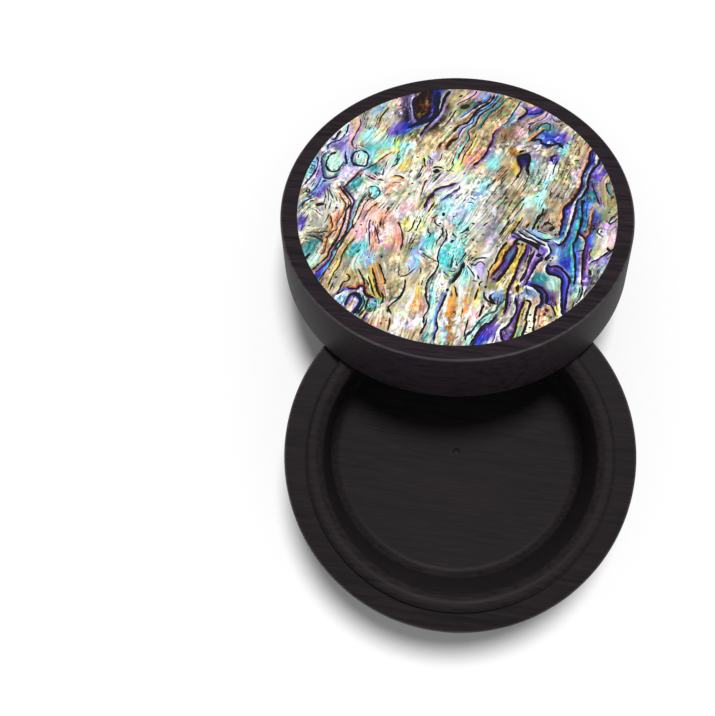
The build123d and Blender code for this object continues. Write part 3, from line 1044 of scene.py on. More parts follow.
# The small arch at the lower left rim and the lines above it
LOWER_LEFT = [
    line(0.35, BROWN, (-27.6, -19), (-28.6, -21.6)),
    line(0.45, UMBER, (-25, -17), (-24.3, -17.3), (-24, -18.1), (-24.6, -18.8), (-25.6, -19.3),
        (-26.9, -22.6), left=SAND),
    line(0.4, UMBER, (-25, -21), (-26.9, -22.6), left=BLUE, right=WHITE),
    line(0.65, UMBER, (-24.8, -20.8), (-22.8, -21), (-22, -20.4), (-21, -20.3), (-20.7, -22.4),
        (-18.7, -23.6), left=VIOLET, right=RUST, glow=0.5),
    line(0.8, NAVY, (-25.1, -25.3), (-24.2, -22.9), (-23.2, -22.3), (-22.4, -22.5), (-21.9, -23.4),
        (-21.7, -24.6), (-23.2, -27.6), left=VIOLET, glow=0.7),
    line(0.35, UMBER, (-21.2, -22.6), (-20.8, -24), (-20.9, -25.2), (-22.4, -27.8), left=TEAL, right=MINT,
        glow=0.45),
    line(0.4, UMBER, (-19.9, -23.6), (-20.8, -26.4), (-22.1, -28.3)),
    line(0.4, NAVY, (-20.6, -27.6), (-21.3, -29.1), right=VIOLET),
    line(0.4, UMBER, (-22.3, -15.6), (-21.1, -18.4), (-20.8, -20)),
    line(0.35, BROWN, (-20, -17.6), (-18.8, -22.4), (-18.4, -23), left=LIME, right=GOLD),
    line(0.45, UMBER, (-19.2, -15.4), (-18.4, -18.6), (-18, -21.8), (-17.2, -23.3), left=GOLD, right=ORANGE),
    line(0.5, UMBER, (-17.6, -14.3), (-16.3, -19), (-16.6, -19.9), left=ORANGE),
    line(0.5, UMBER, (-17.2, -21.8), (-16.8, -23), (-16.8, -24), (-17.3, -25.3)),
    line(0.5, UMBER, (-12, -18.6), (-11.9, -19.8), (-12.2, -21.4), (-12.8, -22.8), (-13.6, -24),
        (-15.4, -25.6), (-15.6, -26.3), (-14.9, -27.9), left=CREAM),
    line(0.4, UMBER, (-15.7, -26.4), (-15.9, -26.8), (-15.6, -27.4)),
    line(0.35, UMBER, (-15.3, -28.8), (-15.6, -31.4), (-15.9, -32.2)),
    line(0.35, UMBER, (-18.2, -24.6), (-18.8, -24.3)),
]

# Contours, arches and stipple at the lower right
LOWER_RIGHT = [
    line(0.4, UMBER, (5.1, -19.4), (4.4, -20.2), (4.6, -21)),
    line(0.4, UMBER, (2.8, -19.3), (4, -19.6)),
    line(0.45, UMBER, (4.1, -21.4), (3.1, -24.5), left=SAND, right=GOLD),
    line(0.45, UMBER, (5.3, -22.1), (5.2, -23.4), (5.8, -24.4), (6.8, -25.3), (7.8, -25.7)),
    line(0.55, UMBER, (7.3, -22.7), (6.5, -23.7), (7, -24.8), (7.7, -25.6), left=WHITE),
    line(0.4, TEAL, (9.9, -24.2), (8.1, -26.2), (7.6, -27.4), (4.8, -29), (1.5, -33.6), right=MINT),
    line(0.5, UMBER, (5.1, -25.8), (3.9, -28.9), left=PINK, right=CREAM),
    line(0.5, UMBER, (7.3, -28.8), (6.8, -29.8), (5.8, -30.7), (4.8, -31), (1.9, -35.6), left=MINT,
        right=PLUM, glow=0.5),
    line(0.6, UMBER, (12, -24), (12.2, -26), (12, -27.8), (10, -31.2), (8.6, -32.4), (8.5, -34),
        (8.8, -35.2), left=WHITE, right=VIOLET, glow=0.5),
    line(0.6, UMBER, (13.9, -24.9), (12.4, -29), (11.4, -33), (10.4, -34.6), left=PURPLE, right=GOLD,
        glow=0.5),
    line(0.5, UMBER, (14, -24.6), (15.2, -25.4), (14.2, -28.8), (14, -31), (12.9, -34), left=SAND,
        right=CREAM),
    line(0.5, UMBER, (17.1, -25.8), (16.3, -27.2), (15.4, -32.8)),
    line(0.65, UMBER, (12.9, -20.5), (12.6, -21.4), (12.6, -22.6), left=GOLD),
    line(0.4, UMBER, (13.3, -23.1), (13.9, -22.8)),
    line(0.35, UMBER, (1.6, -29.2), (0.5, -34)),
    line(0.45, NAVY, (2, -32.4), (1.2, -33.4), (0.7, -34.8)),
    line(0.4, UMBER, (7.4, -33.2), (6.6, -35.4), right=WHITE),
    line(0.6, UMBER, (15.2, -20.2), (17.6, -21.3), (18.4, -22.2), (19, -23.4), (18.7, -25.8), left=PURPLE,
        right=VIOLET, glow=0.5),
    line(0.65, UMBER, (14.9, -20.9), (16, -21.2), (16.9, -22), (17.7, -23.3), (17.6, -25.6), (17, -26.2),
        left=WHITE, right=COBALT, glow=0.5),
    line(0.6, UMBER, (19.4, -15.4), (20.2, -15.9), (21.4, -15.8), (22.4, -16.4), (24, -18.8), (24, -20.2),
        (23.2, -23.2), (22.6, -27.4), left=VIOLET, right=LAVENDER, glow=0.5),
    line(0.7, UMBER, (19.4, -15.8), (19.3, -17.2), (20, -17.9), (21.2, -18.2), (22, -18.8), (22.5, -19.7),
        (22.1, -22.6), (21.9, -28.6), left=WHITE, right=COBALT),
    line(0.45, UMBER, (18.8, -25.8), (19.8, -26.4), (20.6, -29.2), left=SAND),
]

# Dark pits and specks all over the shell
SPOTS = [
    *spots(BLUE, (-3.8, -3.6, 0.3, 0.3)),
    *spots(COBALT, (-30.6, -6.4, 0.3, 0.3)),
    *spots(NAVY, (-1.3, -8.6, 0.5, 0.35, 50), (-17, -12.5, 0.5, 0.25, 80), (21.8, -7.2, 0.4, 0.3),
        (18.4, -13.6, 0.5, 0.3, 60)),
    *spots(PLUM, (-9.9, 8, 0.3, 0.2, 40)),
    *spots(RUST, (-27.2, 1.3, 0.4, 0.3), (-29.3, -6.9, 0.35, 0.25, 60), (28.5, -6.6, 0.35, 0.3),
        (18.6, -27.5, 0.5, 0.4), (18.1, -28.4, 0.3, 0.5)),
    *spots(BROWN, (2.9, 30.6, 1.2, 0.75, 20), (-31, 2.4, 1.1, 0.5, 10), (-5.3, 4.4, 0.7, 0.35, 50),
        (28.7, -17.6, 0.9, 0.4, 100), (-3, -1, 0.55, 0.4, 80), (21.1, -5.6, 0.9, 0.55, 40)),
    *spots(UMBER, (-7.9, 30, 1.1, 0.5, 80), (-7, 32.6, 0.7, 0.35, 60), (-6.2, 28.2, 0.9, 0.4, 40),
        (-8.8, 20.6, 0.25, 0.15), (2, 34, 0.5, 0.3, 30), (4.5, 12.2, 0.25, 0.2), (25.2, 24.4, 0.4, 0.25, 40),
        (28.3, 19.4, 0.3, 0.2), (26.3, 18.9, 0.25, 0.2), (26.8, 18.5, 0.2, 0.2), (-33.4, -3.6, 0.25, 0.2),
        (-34, -7.3, 0.3, 0.2), (-26.8, -13, 0.25, 0.2), (-21.6, -3.6, 0.25, 0.2), (-22.7, -5.3, 0.3, 0.2),
        (-19.9, -12.6, 0.25, 0.2), (-27, -17.8, 0.25, 0.25), (-28.6, -15.6, 0.25, 0.2),
        (-33.5, -12, 1, 0.35, 60), (-4.3, 11.4, 0.85, 0.65, 30), (-10.7, 5, 0.25, 0.2),
        (-8.5, 15.6, 0.25, 0.2), (-10.4, 11.2, 0.2, 0.2), (-1.8, 11.5, 0.25, 0.2),
        (15.5, 16.8, 0.7, 0.45, 30), (26.2, 12.6, 0.3, 0.2), (27, 12.7, 0.2, 0.2), (28.7, 11.7, 0.35, 0.2),
        (24.1, 4.8, 0.2, 0.2), (23.6, 4.3, 0.2, 0.2), (18.4, 3.6, 0.25, 0.15), (32, -6.6, 0.3, 0.25),
        (23.4, -13.6, 0.3, 0.2), (33.6, -3.7, 0.2, 0.2), (34.3, -1.3, 0.35, 0.2, 30),
        (23.6, -6.8, 0.4, 0.2, 70), (32.2, -7.9, 0.25, 0.2), (-2.7, -21.7, 0.45, 0.35, 80),
        (-3.8, -20.2, 0.3, 0.2, 80), (-8.3, -10.6, 0.25, 0.2), (2.6, -5.7, 0.25, 0.2), (1.9, -6.6, 0.3, 0.2),
        (3.6, -3.8, 0.35, 0.25, -20), (8.2, -1.7, 0.25, 0.2), (5.6, -6.9, 0.25, 0.2), (4.3, -8.7, 0.25, 0.2),
        (1.1, -9.1, 0.25, 0.2), (1.5, -9.6, 0.25, 0.2), (3.5, -8.3, 0.35, 0.2, 60), (8.8, -10.2, 0.25, 0.25),
        (3.9, -11.6, 0.4, 0.2), (20.7, -3.2, 0.2, 0.2), (18.5, -3.5, 0.25, 0.2), (22.6, -6.4, 0.25, 0.2),
        (18.2, -6.2, 0.3, 0.25), (13.2, -9.6, 0.5, 0.4), (14.3, -9.8, 0.4, 0.3, 70),
        (17.8, -12.8, 0.7, 0.5, 20), (20.7, -13.6, 0.25, 0.25), (20.3, -14.3, 0.25, 0.25),
        (-27.1, -17.8, 0.3, 0.25), (-24.4, -17.8, 0.2, 0.2), (-17.3, -30.2, 0.3, 0.2, 60),
        (-19.6, -26.9, 0.3, 0.15, 30), (-16.2, -29.4, 0.25, 0.15), (18.7, -27.3, 0.4, 0.4),
        (17.2, -26.6, 0.3, 0.25), (16.2, -28.6, 0.35, 0.2, 30), (17.1, -28.8, 0.25, 0.2),
        (16.6, -30.2, 0.25, 0.2), (19.4, -29.2, 0.3, 0.2), (5.7, -21, 0.4, 0.3, 80),
        (7.7, -19, 0.4, 0.25, 30), (15.1, -26.3, 0.25, 0.25), (13.3, -28.4, 0.25, 0.3),
        (14.7, -30.2, 0.25, 0.2), (14.8, -31.8, 0.3, 0.2), (13.9, -33, 0.3, 0.2), (15, -28.6, 0.25, 0.3),
        (13, -31.4, 0.2, 0.2), (16.9, -31.4, 0.25, 0.2)),
]

# Soft patches of colour all over the shell
PATCHES = [
    *patches(WHITE, (-29.6, 4.4, 1.4, 1, 60), (-14, 6, 12, 9, 10, 0.5), (2, 5, 8, 8, 60, 0.42),
        (-1, -18, 11, 7, 80, 0.42), (-0.4, 3.2, 1.4, 1, 50, 1.3), (22.5, 11.9, 1.6, 0.45, 66, 2.2),
        (32.6, -9.4, 1.3, 0.8, 60, 1.1), (6.2, -11.2, 2.2, 0.5, 65, 1.2), (20.6, -14, 0.7, 0.6, 0, 2),
        (-23.2, -25.1, 1.6, 0.6, 80, 2.6), (-14.2, -30.2, 2.4, 0.5, 70, 1.4),
        (-11.8, -29.4, 2.2, 0.4, 74, 1.2), (-10.5, -22.8, 3.2, 0.4, 72, 1.6), (-8.9, -29, 2, 0.4, 75, 1.3),
        (-3.7, -29, 3, 0.35, 80, 1.6), (-0.8, -30.6, 2.4, 0.7, 80, 1.3), (0.6, -20.6, 2.2, 0.9, 80, 1.3),
        (1.7, -29, 3.4, 0.25, 76, 1.8)),
    *patches(CREAM, (-5.6, 32.2, 0.5, 0.35, 70, 9), (27, 22.5, 1.5, 0.9, 60), (-22.6, -2.8, 1.4, 0.8, 70),
        (-1.8, 14.5, 1.8, 1.3, 50, 2), (11, 16.8, 1.6, 0.9, 60), (14, 8.2, 1.6, 0.8, 62),
        (-6.4, -2.4, 1.2, 0.8, 60, 1.2), (-17.6, -27.8, 1.8, 1.1, 60), (-8.2, -20.6, 2.6, 0.4, 80, 1.2),
        (0.2, -25.6, 3, 0.6, 82, 1.2), (15.2, -29.4, 2.4, 0.7, 85, 1.5)),
    *patches(SAND, (-17.3, 24, 1.8, 1.1, 60), (-12.6, 30.6, 1.3, 0.9, 60), (-9.4, 21.2, 1.4, 1, 60),
        (-3.4, 20.6, 1.5, 0.9, 60), (8.6, 24.6, 1.6, 1, 58), (5.6, 17.6, 1.6, 0.9, 60),
        (21, 17, 1.4, 0.9, 60), (-12, 5, 2.2, 1.2, 60), (-9, 1.8, 1.5, 0.9, 60),
        (28.2, 17, 2.2, 1.3, 62, 1.2), (22.9, 8.2, 1.8, 0.9, 64), (12.4, 14.4, 1.8, 0.9, 60),
        (17.2, 5.6, 1.4, 0.9, 62), (31.2, -12.2, 1.5, 0.9, 50), (-14.6, -12.6, 1.5, 1, 60),
        (3.6, -12.4, 1.6, 0.7, 40), (11, -1.6, 2, 0.9, 60, 1.2), (18.5, -15.4, 1.1, 0.7, 60, 1.4),
        (-16, -30.6, 1.6, 0.7, 80), (-11.4, -24.4, 2.6, 0.4, 73, 1.1), (-12, -32.4, 2, 0.8, 20, 1.2),
        (-11.6, -19, 1.6, 0.7, 80), (-13.6, -18.8, 1.5, 0.8, 60), (9.8, -20, 1.5, 1, 55, 1.4),
        (5.4, -27.6, 1.2, 0.8, 50, 1.2), (18.6, -29.8, 1.6, 0.7, 60, 1.2)),
    *patches(TAN, (-6, 20, 2.6, 1.6, 60, 1.2), (0.3, 33, 1.8, 0.9, 60, 1.1), (9.5, 26.5, 2.2, 1.3, 58, 1.2),
        (6.5, 18.8, 2.4, 1.3, 65, 1.3), (29, 19.5, 1.6, 1, 60), (18, 31, 2, 1, 60),
        (-23.4, -16.8, 1.8, 0.9, 65, 1.2), (5, 11, 1.8, 1.1, 60, 1.2), (25.8, 12.4, 2.6, 1.4, 62, 1.2),
        (30, 18.6, 1.6, 1, 60), (21.2, 1.8, 2.2, 1.2, 66, 1.1), (13.4, 5.2, 2, 1, 60),
        (13, 0.8, 1.6, 0.8, 60, 1.2), (-6.2, -14.8, 1.8, 1, 75, 1.1), (5.2, -10.4, 1.8, 0.8, 62, 1.1),
        (12.6, -4.6, 1.4, 0.8, 60, 1.2), (22, -2.4, 2.4, 1.3, 70, 1.4), (-22.8, -18.2, 2, 1.2, 60, 1.1),
        (-14.8, -21, 1.8, 1.1, 70, 1.2), (-9.6, -32.4, 1.6, 0.6, 60, 1.1), (-9.8, -19.4, 1.8, 0.6, 75, 1.1),
        (1.9, -22.4, 2.4, 0.5, 76, 1.3), (2.6, -25, 1.6, 0.8, 70, 1.2)),
    *patches(GREY, (-20, 28, 1.8, 1.2, 30), (-13, 28, 1.8, 1.2, 60), (-1.2, 28, 1.6, 1, 60),
        (16.4, 18.6, 2.4, 1.4, 60, 1.2), (-10, 8, 2.4, 1.3, 60, 1.2), (-13.2, 2.5, 1.8, 1.1, 60),
        (5.6, 1, 1.6, 1, 60), (19.4, 11.6, 2.2, 1.2, 62), (21.4, 4.6, 2, 1.1, 66),
        (9.5, 5, 2.2, 1.1, 60, 1.2), (32.2, -0.6, 1.5, 0.8, 80), (30.8, -9.8, 1.4, 0.8, 70, 1.1),
        (3.8, -5.6, 1.6, 0.9, 60), (7.4, -13.8, 1.6, 0.8, 60, 1.1), (9, -1.2, 1.8, 1, 60, 1.1),
        (13.6, -2, 1.4, 0.8, 60), (20.8, -1, 1.4, 0.8, 66), (10.8, -26.8, 2.6, 0.6, 68, 1.4),
        (9.2, -30.2, 1.8, 0.6, 60, 1.3), (20.6, -22.6, 1.4, 0.8, 80, 1.3)),
    *patches(SMOKE, (-20.2, -15.6, 2, 0.9, 70, 0.9), (-15.4, -10.2, 2, 1.2, 60),
        (8.6, -5, 2.8, 1.1, 60, 1.5), (19, -14, 14, 10, 60, 0.55), (24, 12, 14, 6, 65, 0.4),
        (9, -26.4, 2, 0.6, 60, 1.4)),
    *patches(OLIVE, (-5.6, 34, 1.2, 0.8, 60, 2), (-4.2, 22.6, 2.2, 1.2, 60, 0.9),
        (-0.9, 30.6, 2.4, 1.1, 68, 1.2), (12.5, 30.5, 2.4, 1.4, 58, 1.2), (21, 16, 1.6, 1, 60, 0.8),
        (25.4, 8.8, 2.2, 1.2, 62, 1.1), (11.6, 9, 2, 1, 60, 0.8), (34.6, 0.8, 1.4, 0.8, 70),
        (-10.4, -9.2, 1.8, 0.9, 60, 0.9), (10.8, -7, 1.6, 0.8, 60, 1.1), (13.7, -11.6, 1.4, 0.6, 68, 1.6),
        (-10.3, -27.9, 1.6, 0.7, 74, 1.1), (7.2, -20.2, 1.2, 0.7, 50, 1.2)),
    *patches(MOSS, (2.9, 30.7, 1.5, 1, 20, 1.6), (12, 2.5, 2.2, 1.1, 60, 0.7),
        (32.4, -3.2, 1.8, 0.9, 75, 1.1)),
    *patches(LIME, (-5.5, 26, 1.6, 0.5, 40, 1.8), (-7.4, 24.9, 1.6, 0.6, 25, 2),
        (-10, 23.3, 1.6, 0.7, 40, 2), (-12.5, 21, 1.7, 0.7, 60, 1.6), (-13.6, 19, 1.5, 0.8, 70, 1.2),
        (-17.6, 16.4, 1.8, 1, 50, 0.9), (-0.2, 13, 1.6, 1.2, 50, 1.3), (-8, -3.8, 1.4, 0.9, 60, 1.2)),
    *patches(MINT, (-17, 21.5, 1.4, 0.9, 60), (-28, 14.7, 1.4, 1, 60, 1.4), (-21.9, 15.6, 1.3, 1.2, 0, 2),
        (-32.3, -13.3, 1.5, 0.9, 50), (-22.4, -14.4, 1.4, 0.8, 60), (3.4, 9.4, 1.5, 1, 60),
        (21.4, 9.6, 1.6, 0.45, 66, 2.4), (19.7, 5.1, 1.6, 0.45, 72, 2.4), (18.9, 0.7, 1.3, 0.45, 84, 2),
        (18, 8.6, 1.8, 1, 62, 0.8), (16.6, 2.6, 1.6, 0.9, 62), (25.4, -22.6, 1.2, 0.6, 75, 1.4),
        (-8, -1, 1.3, 0.9, 60), (-6, -10.6, 1.4, 0.8, 70), (0.8, -8, 1.6, 0.8, 75, 1.1),
        (-6.4, -29.6, 2.6, 0.5, 80, 1.2), (-4.3, -33.6, 2, 0.5, 85, 1.3), (2.6, -33.6, 2.2, 0.5, 58, 1.6),
        (20.8, -20.3, 1.3, 0.9, 80, 1.6)),
    *patches(CYAN, (-19.4, 22.6, 1.5, 1, 70), (-15.5, 19.5, 1.5, 0.9, 40), (-11, 18.8, 1.3, 0.9, 50),
        (-33.8, 13.4, 1.8, 0.8, 65, 1.6), (-19, 17, 1.2, 0.8, 60, 1.3), (-18.6, 5.6, 0.8, 1.2, 0, 1.8),
        (-12.6, 15.4, 1.4, 0.9, 60), (-2, 1.5, 2.2, 1.5, 60, 1.3), (6.5, 7, 1.6, 1, 60),
        (2.6, 0.8, 1.6, 1, 50), (25.4, 16.6, 1.6, 0.45, 62, 2.2), (23.9, 14.4, 1.5, 0.4, 64, 1.6),
        (20.5, 7.4, 1.6, 0.45, 68, 2.4), (19.2, 2.7, 1.6, 0.45, 80, 2.2), (9, 14, 1.8, 1.1, 60, 1.2),
        (18.2, 12.6, 1.4, 0.9, 62), (-1, -10.8, 2, 0.9, 80, 1.4), (-2, -12.4, 1.2, 0.6, 80, 1.4),
        (0.6, -3.8, 1.4, 0.9, 60, 1.1), (1.4, -18.2, 1.6, 0.9, 70, 1.2), (19.6, -7.6, 1.6, 0.5, -5, 1.5),
        (-19, -25.2, 1.2, 0.7, 20, 1.2), (-6.2, -21.8, 2.2, 0.6, 82, 1.3), (-7.3, -31.8, 2.4, 0.5, 78, 1.3),
        (1.3, -18.8, 1.6, 0.7, 80, 1.2), (4.6, -29.9, 2, 0.4, 45, 1.6)),
    *patches(TURQUOISE, (-19, 18.4, 1.6, 1, 40), (9.6, 30.4, 1.6, 0.5, 52, 1.6),
        (-23, 8.3, 1.3, 0.8, 40, 1.4), (-22.4, -9.8, 1.6, 1, 50, 1.3), (26.7, -4.2, 1.7, 0.6, 75, 1.8),
        (23, -7.6, 1.7, 0.7, 65, 1.8), (-6.6, -8.4, 1.6, 0.9, 70, 1.3), (-3, -13.2, 2, 0.8, 80, 1.8),
        (0.6, -11.4, 1.6, 0.8, 75, 1.1)),
    *patches(TEAL, (6, 30.8, 1.4, 0.6, 45, 1.5), (7.6, 29, 1.6, 0.5, 50, 1.6), (21.2, 23.6, 1, 0.8, 30, 1.8),
        (-18.6, 12.8, 1.6, 0.9, 60), (-33, -9.2, 1.8, 1.1, 60, 0.8), (30.4, 3.8, 1.6, 0.7, 72, 1.3),
        (29, -2.6, 1.8, 0.7, 85, 1.6), (25.8, -6.8, 1.7, 0.6, 68, 1.8), (24.2, -11, 1.6, 0.9, 80, 1.8),
        (26.9, -9.6, 1.2, 0.7, 75, 2.2), (11.4, -13, 1.5, 0.5, 65, 1.6), (11.9, -33.4, 1.2, 0.5, 65, 1.8),
        (17.5, -19, 1.5, 1.1, 50, 1.8)),
    *patches(SKY, (-17, 30.2, 1.6, 1, 40), (8.3, 33.2, 1.2, 0.6, 55, 1.4), (14.3, 26.5, 1.5, 0.8, 60),
        (-31.2, 8, 1.8, 0.9, 60, 1.2), (-20.6, -12.4, 2.2, 1.2, 65, 0.9), (4.6, 4.4, 1.8, 1.1, 50, 1.1),
        (22.4, -11.6, 1.3, 0.9, 60, 1.8), (21.4, -14.8, 1, 0.7, 60, 1.6), (-9.2, -12.2, 3.2, 0.7, 78, 1.2),
        (17.2, -6.4, 1.5, 0.6, -30, 1.4), (-25.4, -23.4, 1.2, 0.7, 60, 1.5), (-3.1, -30.5, 3, 0.3, 85, 1.6),
        (8.1, -23.6, 1, 1, 0, 2), (15.5, -22.9, 1.4, 0.9, 30, 1.4)),
    *patches(BLUE, (-9.8, 29.8, 2, 0.7, 80, 1.8), (21.8, 21.2, 1.7, 1, 20, 2),
        (-30.5, -15.3, 1.5, 0.6, 50, 1.5), (29.4, 0.4, 1.3, 0.6, 80, 1.8), (24.9, -8.6, 1.5, 0.7, 62, 1.8),
        (22.6, -13.2, 1.3, 0.9, 70, 1.8), (24.6, -18.6, 1.9, 0.5, 85, 1.8), (29.4, -9.4, 1.6, 0.5, 75, 1.6),
        (23, -19.4, 1.4, 0.45, 80, 2.2), (22.5, -25, 1.8, 0.35, 88, 2.2)),
    *patches(COBALT, (-12, 22.8, 1.1, 0.9, 60, 2), (-10.2, 25.6, 1.3, 0.8, 20, 1.8),
        (22.8, 20, 1.7, 0.9, 0, 2), (-31.4, -17.2, 1.6, 0.6, 50, 1.4), (31.4, 13, 1.6, 0.6, 80, 1.6),
        (27.2, -1.4, 1.5, 0.6, 82, 1.8), (23.6, -15.2, 1.7, 1, 80, 2), (31.2, -3.8, 1.5, 0.5, 80, 1.4),
        (3.9, -34.2, 1.5, 0.7, 60, 2), (22.9, -22, 1.5, 0.45, 85, 2.2)),
    *patches(NAVY, (16, 14.1, 1.2, 0.8, 70, 3)),
    *patches(VIOLET, (-26, 20, 1.6, 0.9, 40), (-12.8, 24.4, 1.8, 0.9, 40, 1.6),
        (-10.6, 31, 2.4, 1.3, 80, 1.6), (6, 28.6, 1.4, 0.5, 45, 1.4), (19.6, 29, 1.6, 0.8, 10, 1.6),
        (25.3, 20.2, 1.4, 1, 50, 1.8), (-31.2, 12.4, 1.6, 0.6, 80, 1.4), (-31, 6.2, 1.5, 0.8, 60, 1.2),
        (-35.3, -2.6, 1.2, 0.6, 80, 1.4), (16.2, 13.2, 0.8, 0.5, 70, 2.5), (22.9, 14.6, 0.9, 0.5, 60, 2.2),
        (32.6, 9.4, 1.6, 0.7, 62, 1.4), (28.8, 4.6, 1.5, 0.5, 62, 1.5), (26.4, -14.6, 2.2, 0.5, 88, 2),
        (27.8, -17.6, 2.4, 0.5, 88, 1.6), (18.5, -11.9, 1.1, 0.7, 60, 2), (10.2, -15.2, 1.3, 0.5, 60, 1.6),
        (15.7, -11.4, 1.4, 0.5, 70, 1.8), (6.4, -32, 1.6, 0.9, 60, 1.6)),
    *patches(LAVENDER, (-24.5, 21.5, 1.6, 1, 50), (-10.2, 33.2, 1.4, 0.9, 60), (6.4, 34.2, 1.4, 0.9, 50),
        (9, 31.9, 1.5, 0.5, 55, 1.4), (23.6, 26.8, 1.5, 0.8, 60), (19, 16, 2.2, 1.3, 60, 0.7),
        (-25, 19, 1.4, 0.8, 70, 1.3), (-24.5, 11.6, 1.6, 1, 60, 1.3), (-24.4, 16.4, 0.8, 1.2, 0, 1.5),
        (-4.2, 15.6, 1.4, 0.8, 50), (0.4, -1, 1.8, 1.1, 60), (28, 10.2, 1.5, 0.8, 62),
        (8.2, 16.6, 1.4, 0.8, 60), (33.6, -5.8, 1.4, 0.8, 40, 1.2), (31.8, -15, 1.5, 0.8, 50, 1.4),
        (4.4, -16.2, 1.5, 0.8, 70, 1.6), (7, -8.2, 2.2, 0.9, 62), (11.6, -8, 1.3, 0.7, 30, 1.4),
        (17.2, -13.4, 1.3, 0.6, 60, 1.6), (-10.5, -30.2, 1.9, 0.6, 55, 1.2),
        (11.2, -22.8, 1.4, 0.6, 65, 1.2), (5.8, -34.6, 1.3, 0.8, 60, 1.5)),
    *patches(PURPLE, (25.6, -0.2, 1.3, 0.5, 70, 1.6), (28.6, -12.4, 1.8, 0.5, 85, 1.8),
        (16.1, -15.6, 1.6, 0.5, 66, 1.8), (4.7, -32, 1.3, 0.6, 60, 1.8), (9.4, -33.8, 1.3, 0.7, 60, 1.6),
        (20.2, -24.3, 1.3, 0.9, 80, 1.8), (21.4, -17.2, 1.2, 0.5, -20, 2)),
    *patches(ROSE, (15.5, 21.5, 1.5, 1, 60), (-21.4, -5, 2.4, 1.5, 75, 1.3), (-12, 1, 1.6, 1, 60, 0.8),
        (34.4, -8.6, 1.6, 0.9, 80, 1.2), (-16.2, -8, 1.6, 0.8, 75, 1.2)),
    *patches(PINK, (-13.5, 32.5, 1.4, 0.9, 50), (-21.2, -1.4, 2.6, 1.6, 60, 1.8),
        (-15.4, -5.2, 2.2, 1.2, 75, 1.8), (3, -28.6, 1.8, 0.9, 60, 1.4)),
    *patches(SALMON, (4.5, 15.8, 2.4, 1.2, 60, 1.2), (-27.4, -1.8, 1.6, 0.7, 80, 1.3),
        (-19.2, 1.2, 1.6, 1, 60, 1.2), (-18.6, -8, 2.2, 0.9, 80, 0.9), (-14.3, 7.5, 1.5, 1, 60),
        (-16.6, -2, 1.6, 1, 70, 1.5), (-14, -7.8, 2.2, 0.9, 78, 1.6), (9.2, -13.8, 1.3, 0.5, 62, 1.5),
        (17.2, -16.6, 1.2, 0.8, 60, 1.4), (-18, -29.8, 1.6, 0.8), (-9.9, -25.6, 2.4, 0.6, 74, 1.2),
        (-8.4, -26.4, 1.9, 0.5, 78, 1.2), (17.2, -29.4, 1.8, 0.9, 80, 1.1), (16.4, -25, 1, 0.6, 40, 1.6)),
    *patches(ORANGE, (-2, -26.4, 2.4, 0.7, 82, 1.4), (0.9, -27.4, 2.8, 0.35, 80, 1.5)),
    *patches(GOLD, (-7.4, 28.4, 0.6, 0.45, 60, 8), (-11.2, 13.4, 1.6, 1, 60, 0.9),
        (-6.6, 2.6, 1.2, 0.7, 60, 1.3), (14.2, 12.2, 1.2, 0.7, 70, 1.3), (-10.6, -3.2, 1.3, 0.8, 60, 1.2),
        (10.1, -12, 1.5, 0.5, 62, 1.6), (12.8, -14.8, 1.5, 0.4, 66, 1.5), (-24.3, -25, 1.3, 0.35, 80, 2.2),
        (-9.2, -22.6, 2.8, 0.6, 76, 1.1), (12.3, -20.6, 1, 0.6, 60, 1.8), (21.1, -26.6, 1.7, 0.35, 88, 2)),
    *patches(AMBER, (-6.4, 31.4, 1.3, 0.6, 75, 8), (14.6, 16.6, 0.9, 0.6, 20, 2.4),
        (-2.3, -30.2, 2.8, 0.6, 84, 1.2)),
    *patches(RUST, (-8.3, 31.6, 1.2, 0.5, 80, 2.4)),
    *patches(BROWN, (-6.6, 31, 2.4, 1.1, 80, 6), (14, 22, 13, 8, 55, 0.3)),
    *patches(UMBER, (-6.7, 30.6, 4.2, 2.7, 80, 5)),
]

LINES = [
    *UPPER_LEFT, *UPPER_EYE, *UPPER_BANDS, *UPPER_RIGHT, *LEFT_LOOPS, *LEFT_BUNDLE, *MIDDLE,
    *RIGHT_MIDDLE, *RIGHT_BANDS, *LOWER_MIDDLE, *ZEBRA_AND_STRIPES, *LOWER_LEFT, *LOWER_RIGHT,
]


@dataclass(frozen=True)
class Cloud:
    """Smooth random values on the lid: their cell in mm, their seed, and how they become a share."""

    cell: float
    seed: int
    level: float = 0.0
    swing: float = 1.0

    def values(self, points: np.ndarray) -> np.ndarray:
        """One value from -1 to 1 for each point."""
        return smooth_noise(points, self.cell, self.seed)

    def pushes(self, points: np.ndarray) -> np.ndarray:
        """A push to the side and one ahead for each point, both from -1 to 1."""
        return np.stack([smooth_noise(points, self.cell, self.seed + i) for i in range(2)], axis=-1)

    def share(self, points: np.ndarray, push: np.ndarray | float = 0.0) -> np.ndarray:
        """One share from 0 to 1 for each point, which the push raises."""
        return np.clip(self.level + self.swing * self.values(points) + push, 0, 1)


@dataclass(frozen=True)
class Streaks:
    """Random values drawn out along the grain: a streak's width in mm, its seed, and its steps each way."""

    width: float
    seed: int
    steps: int


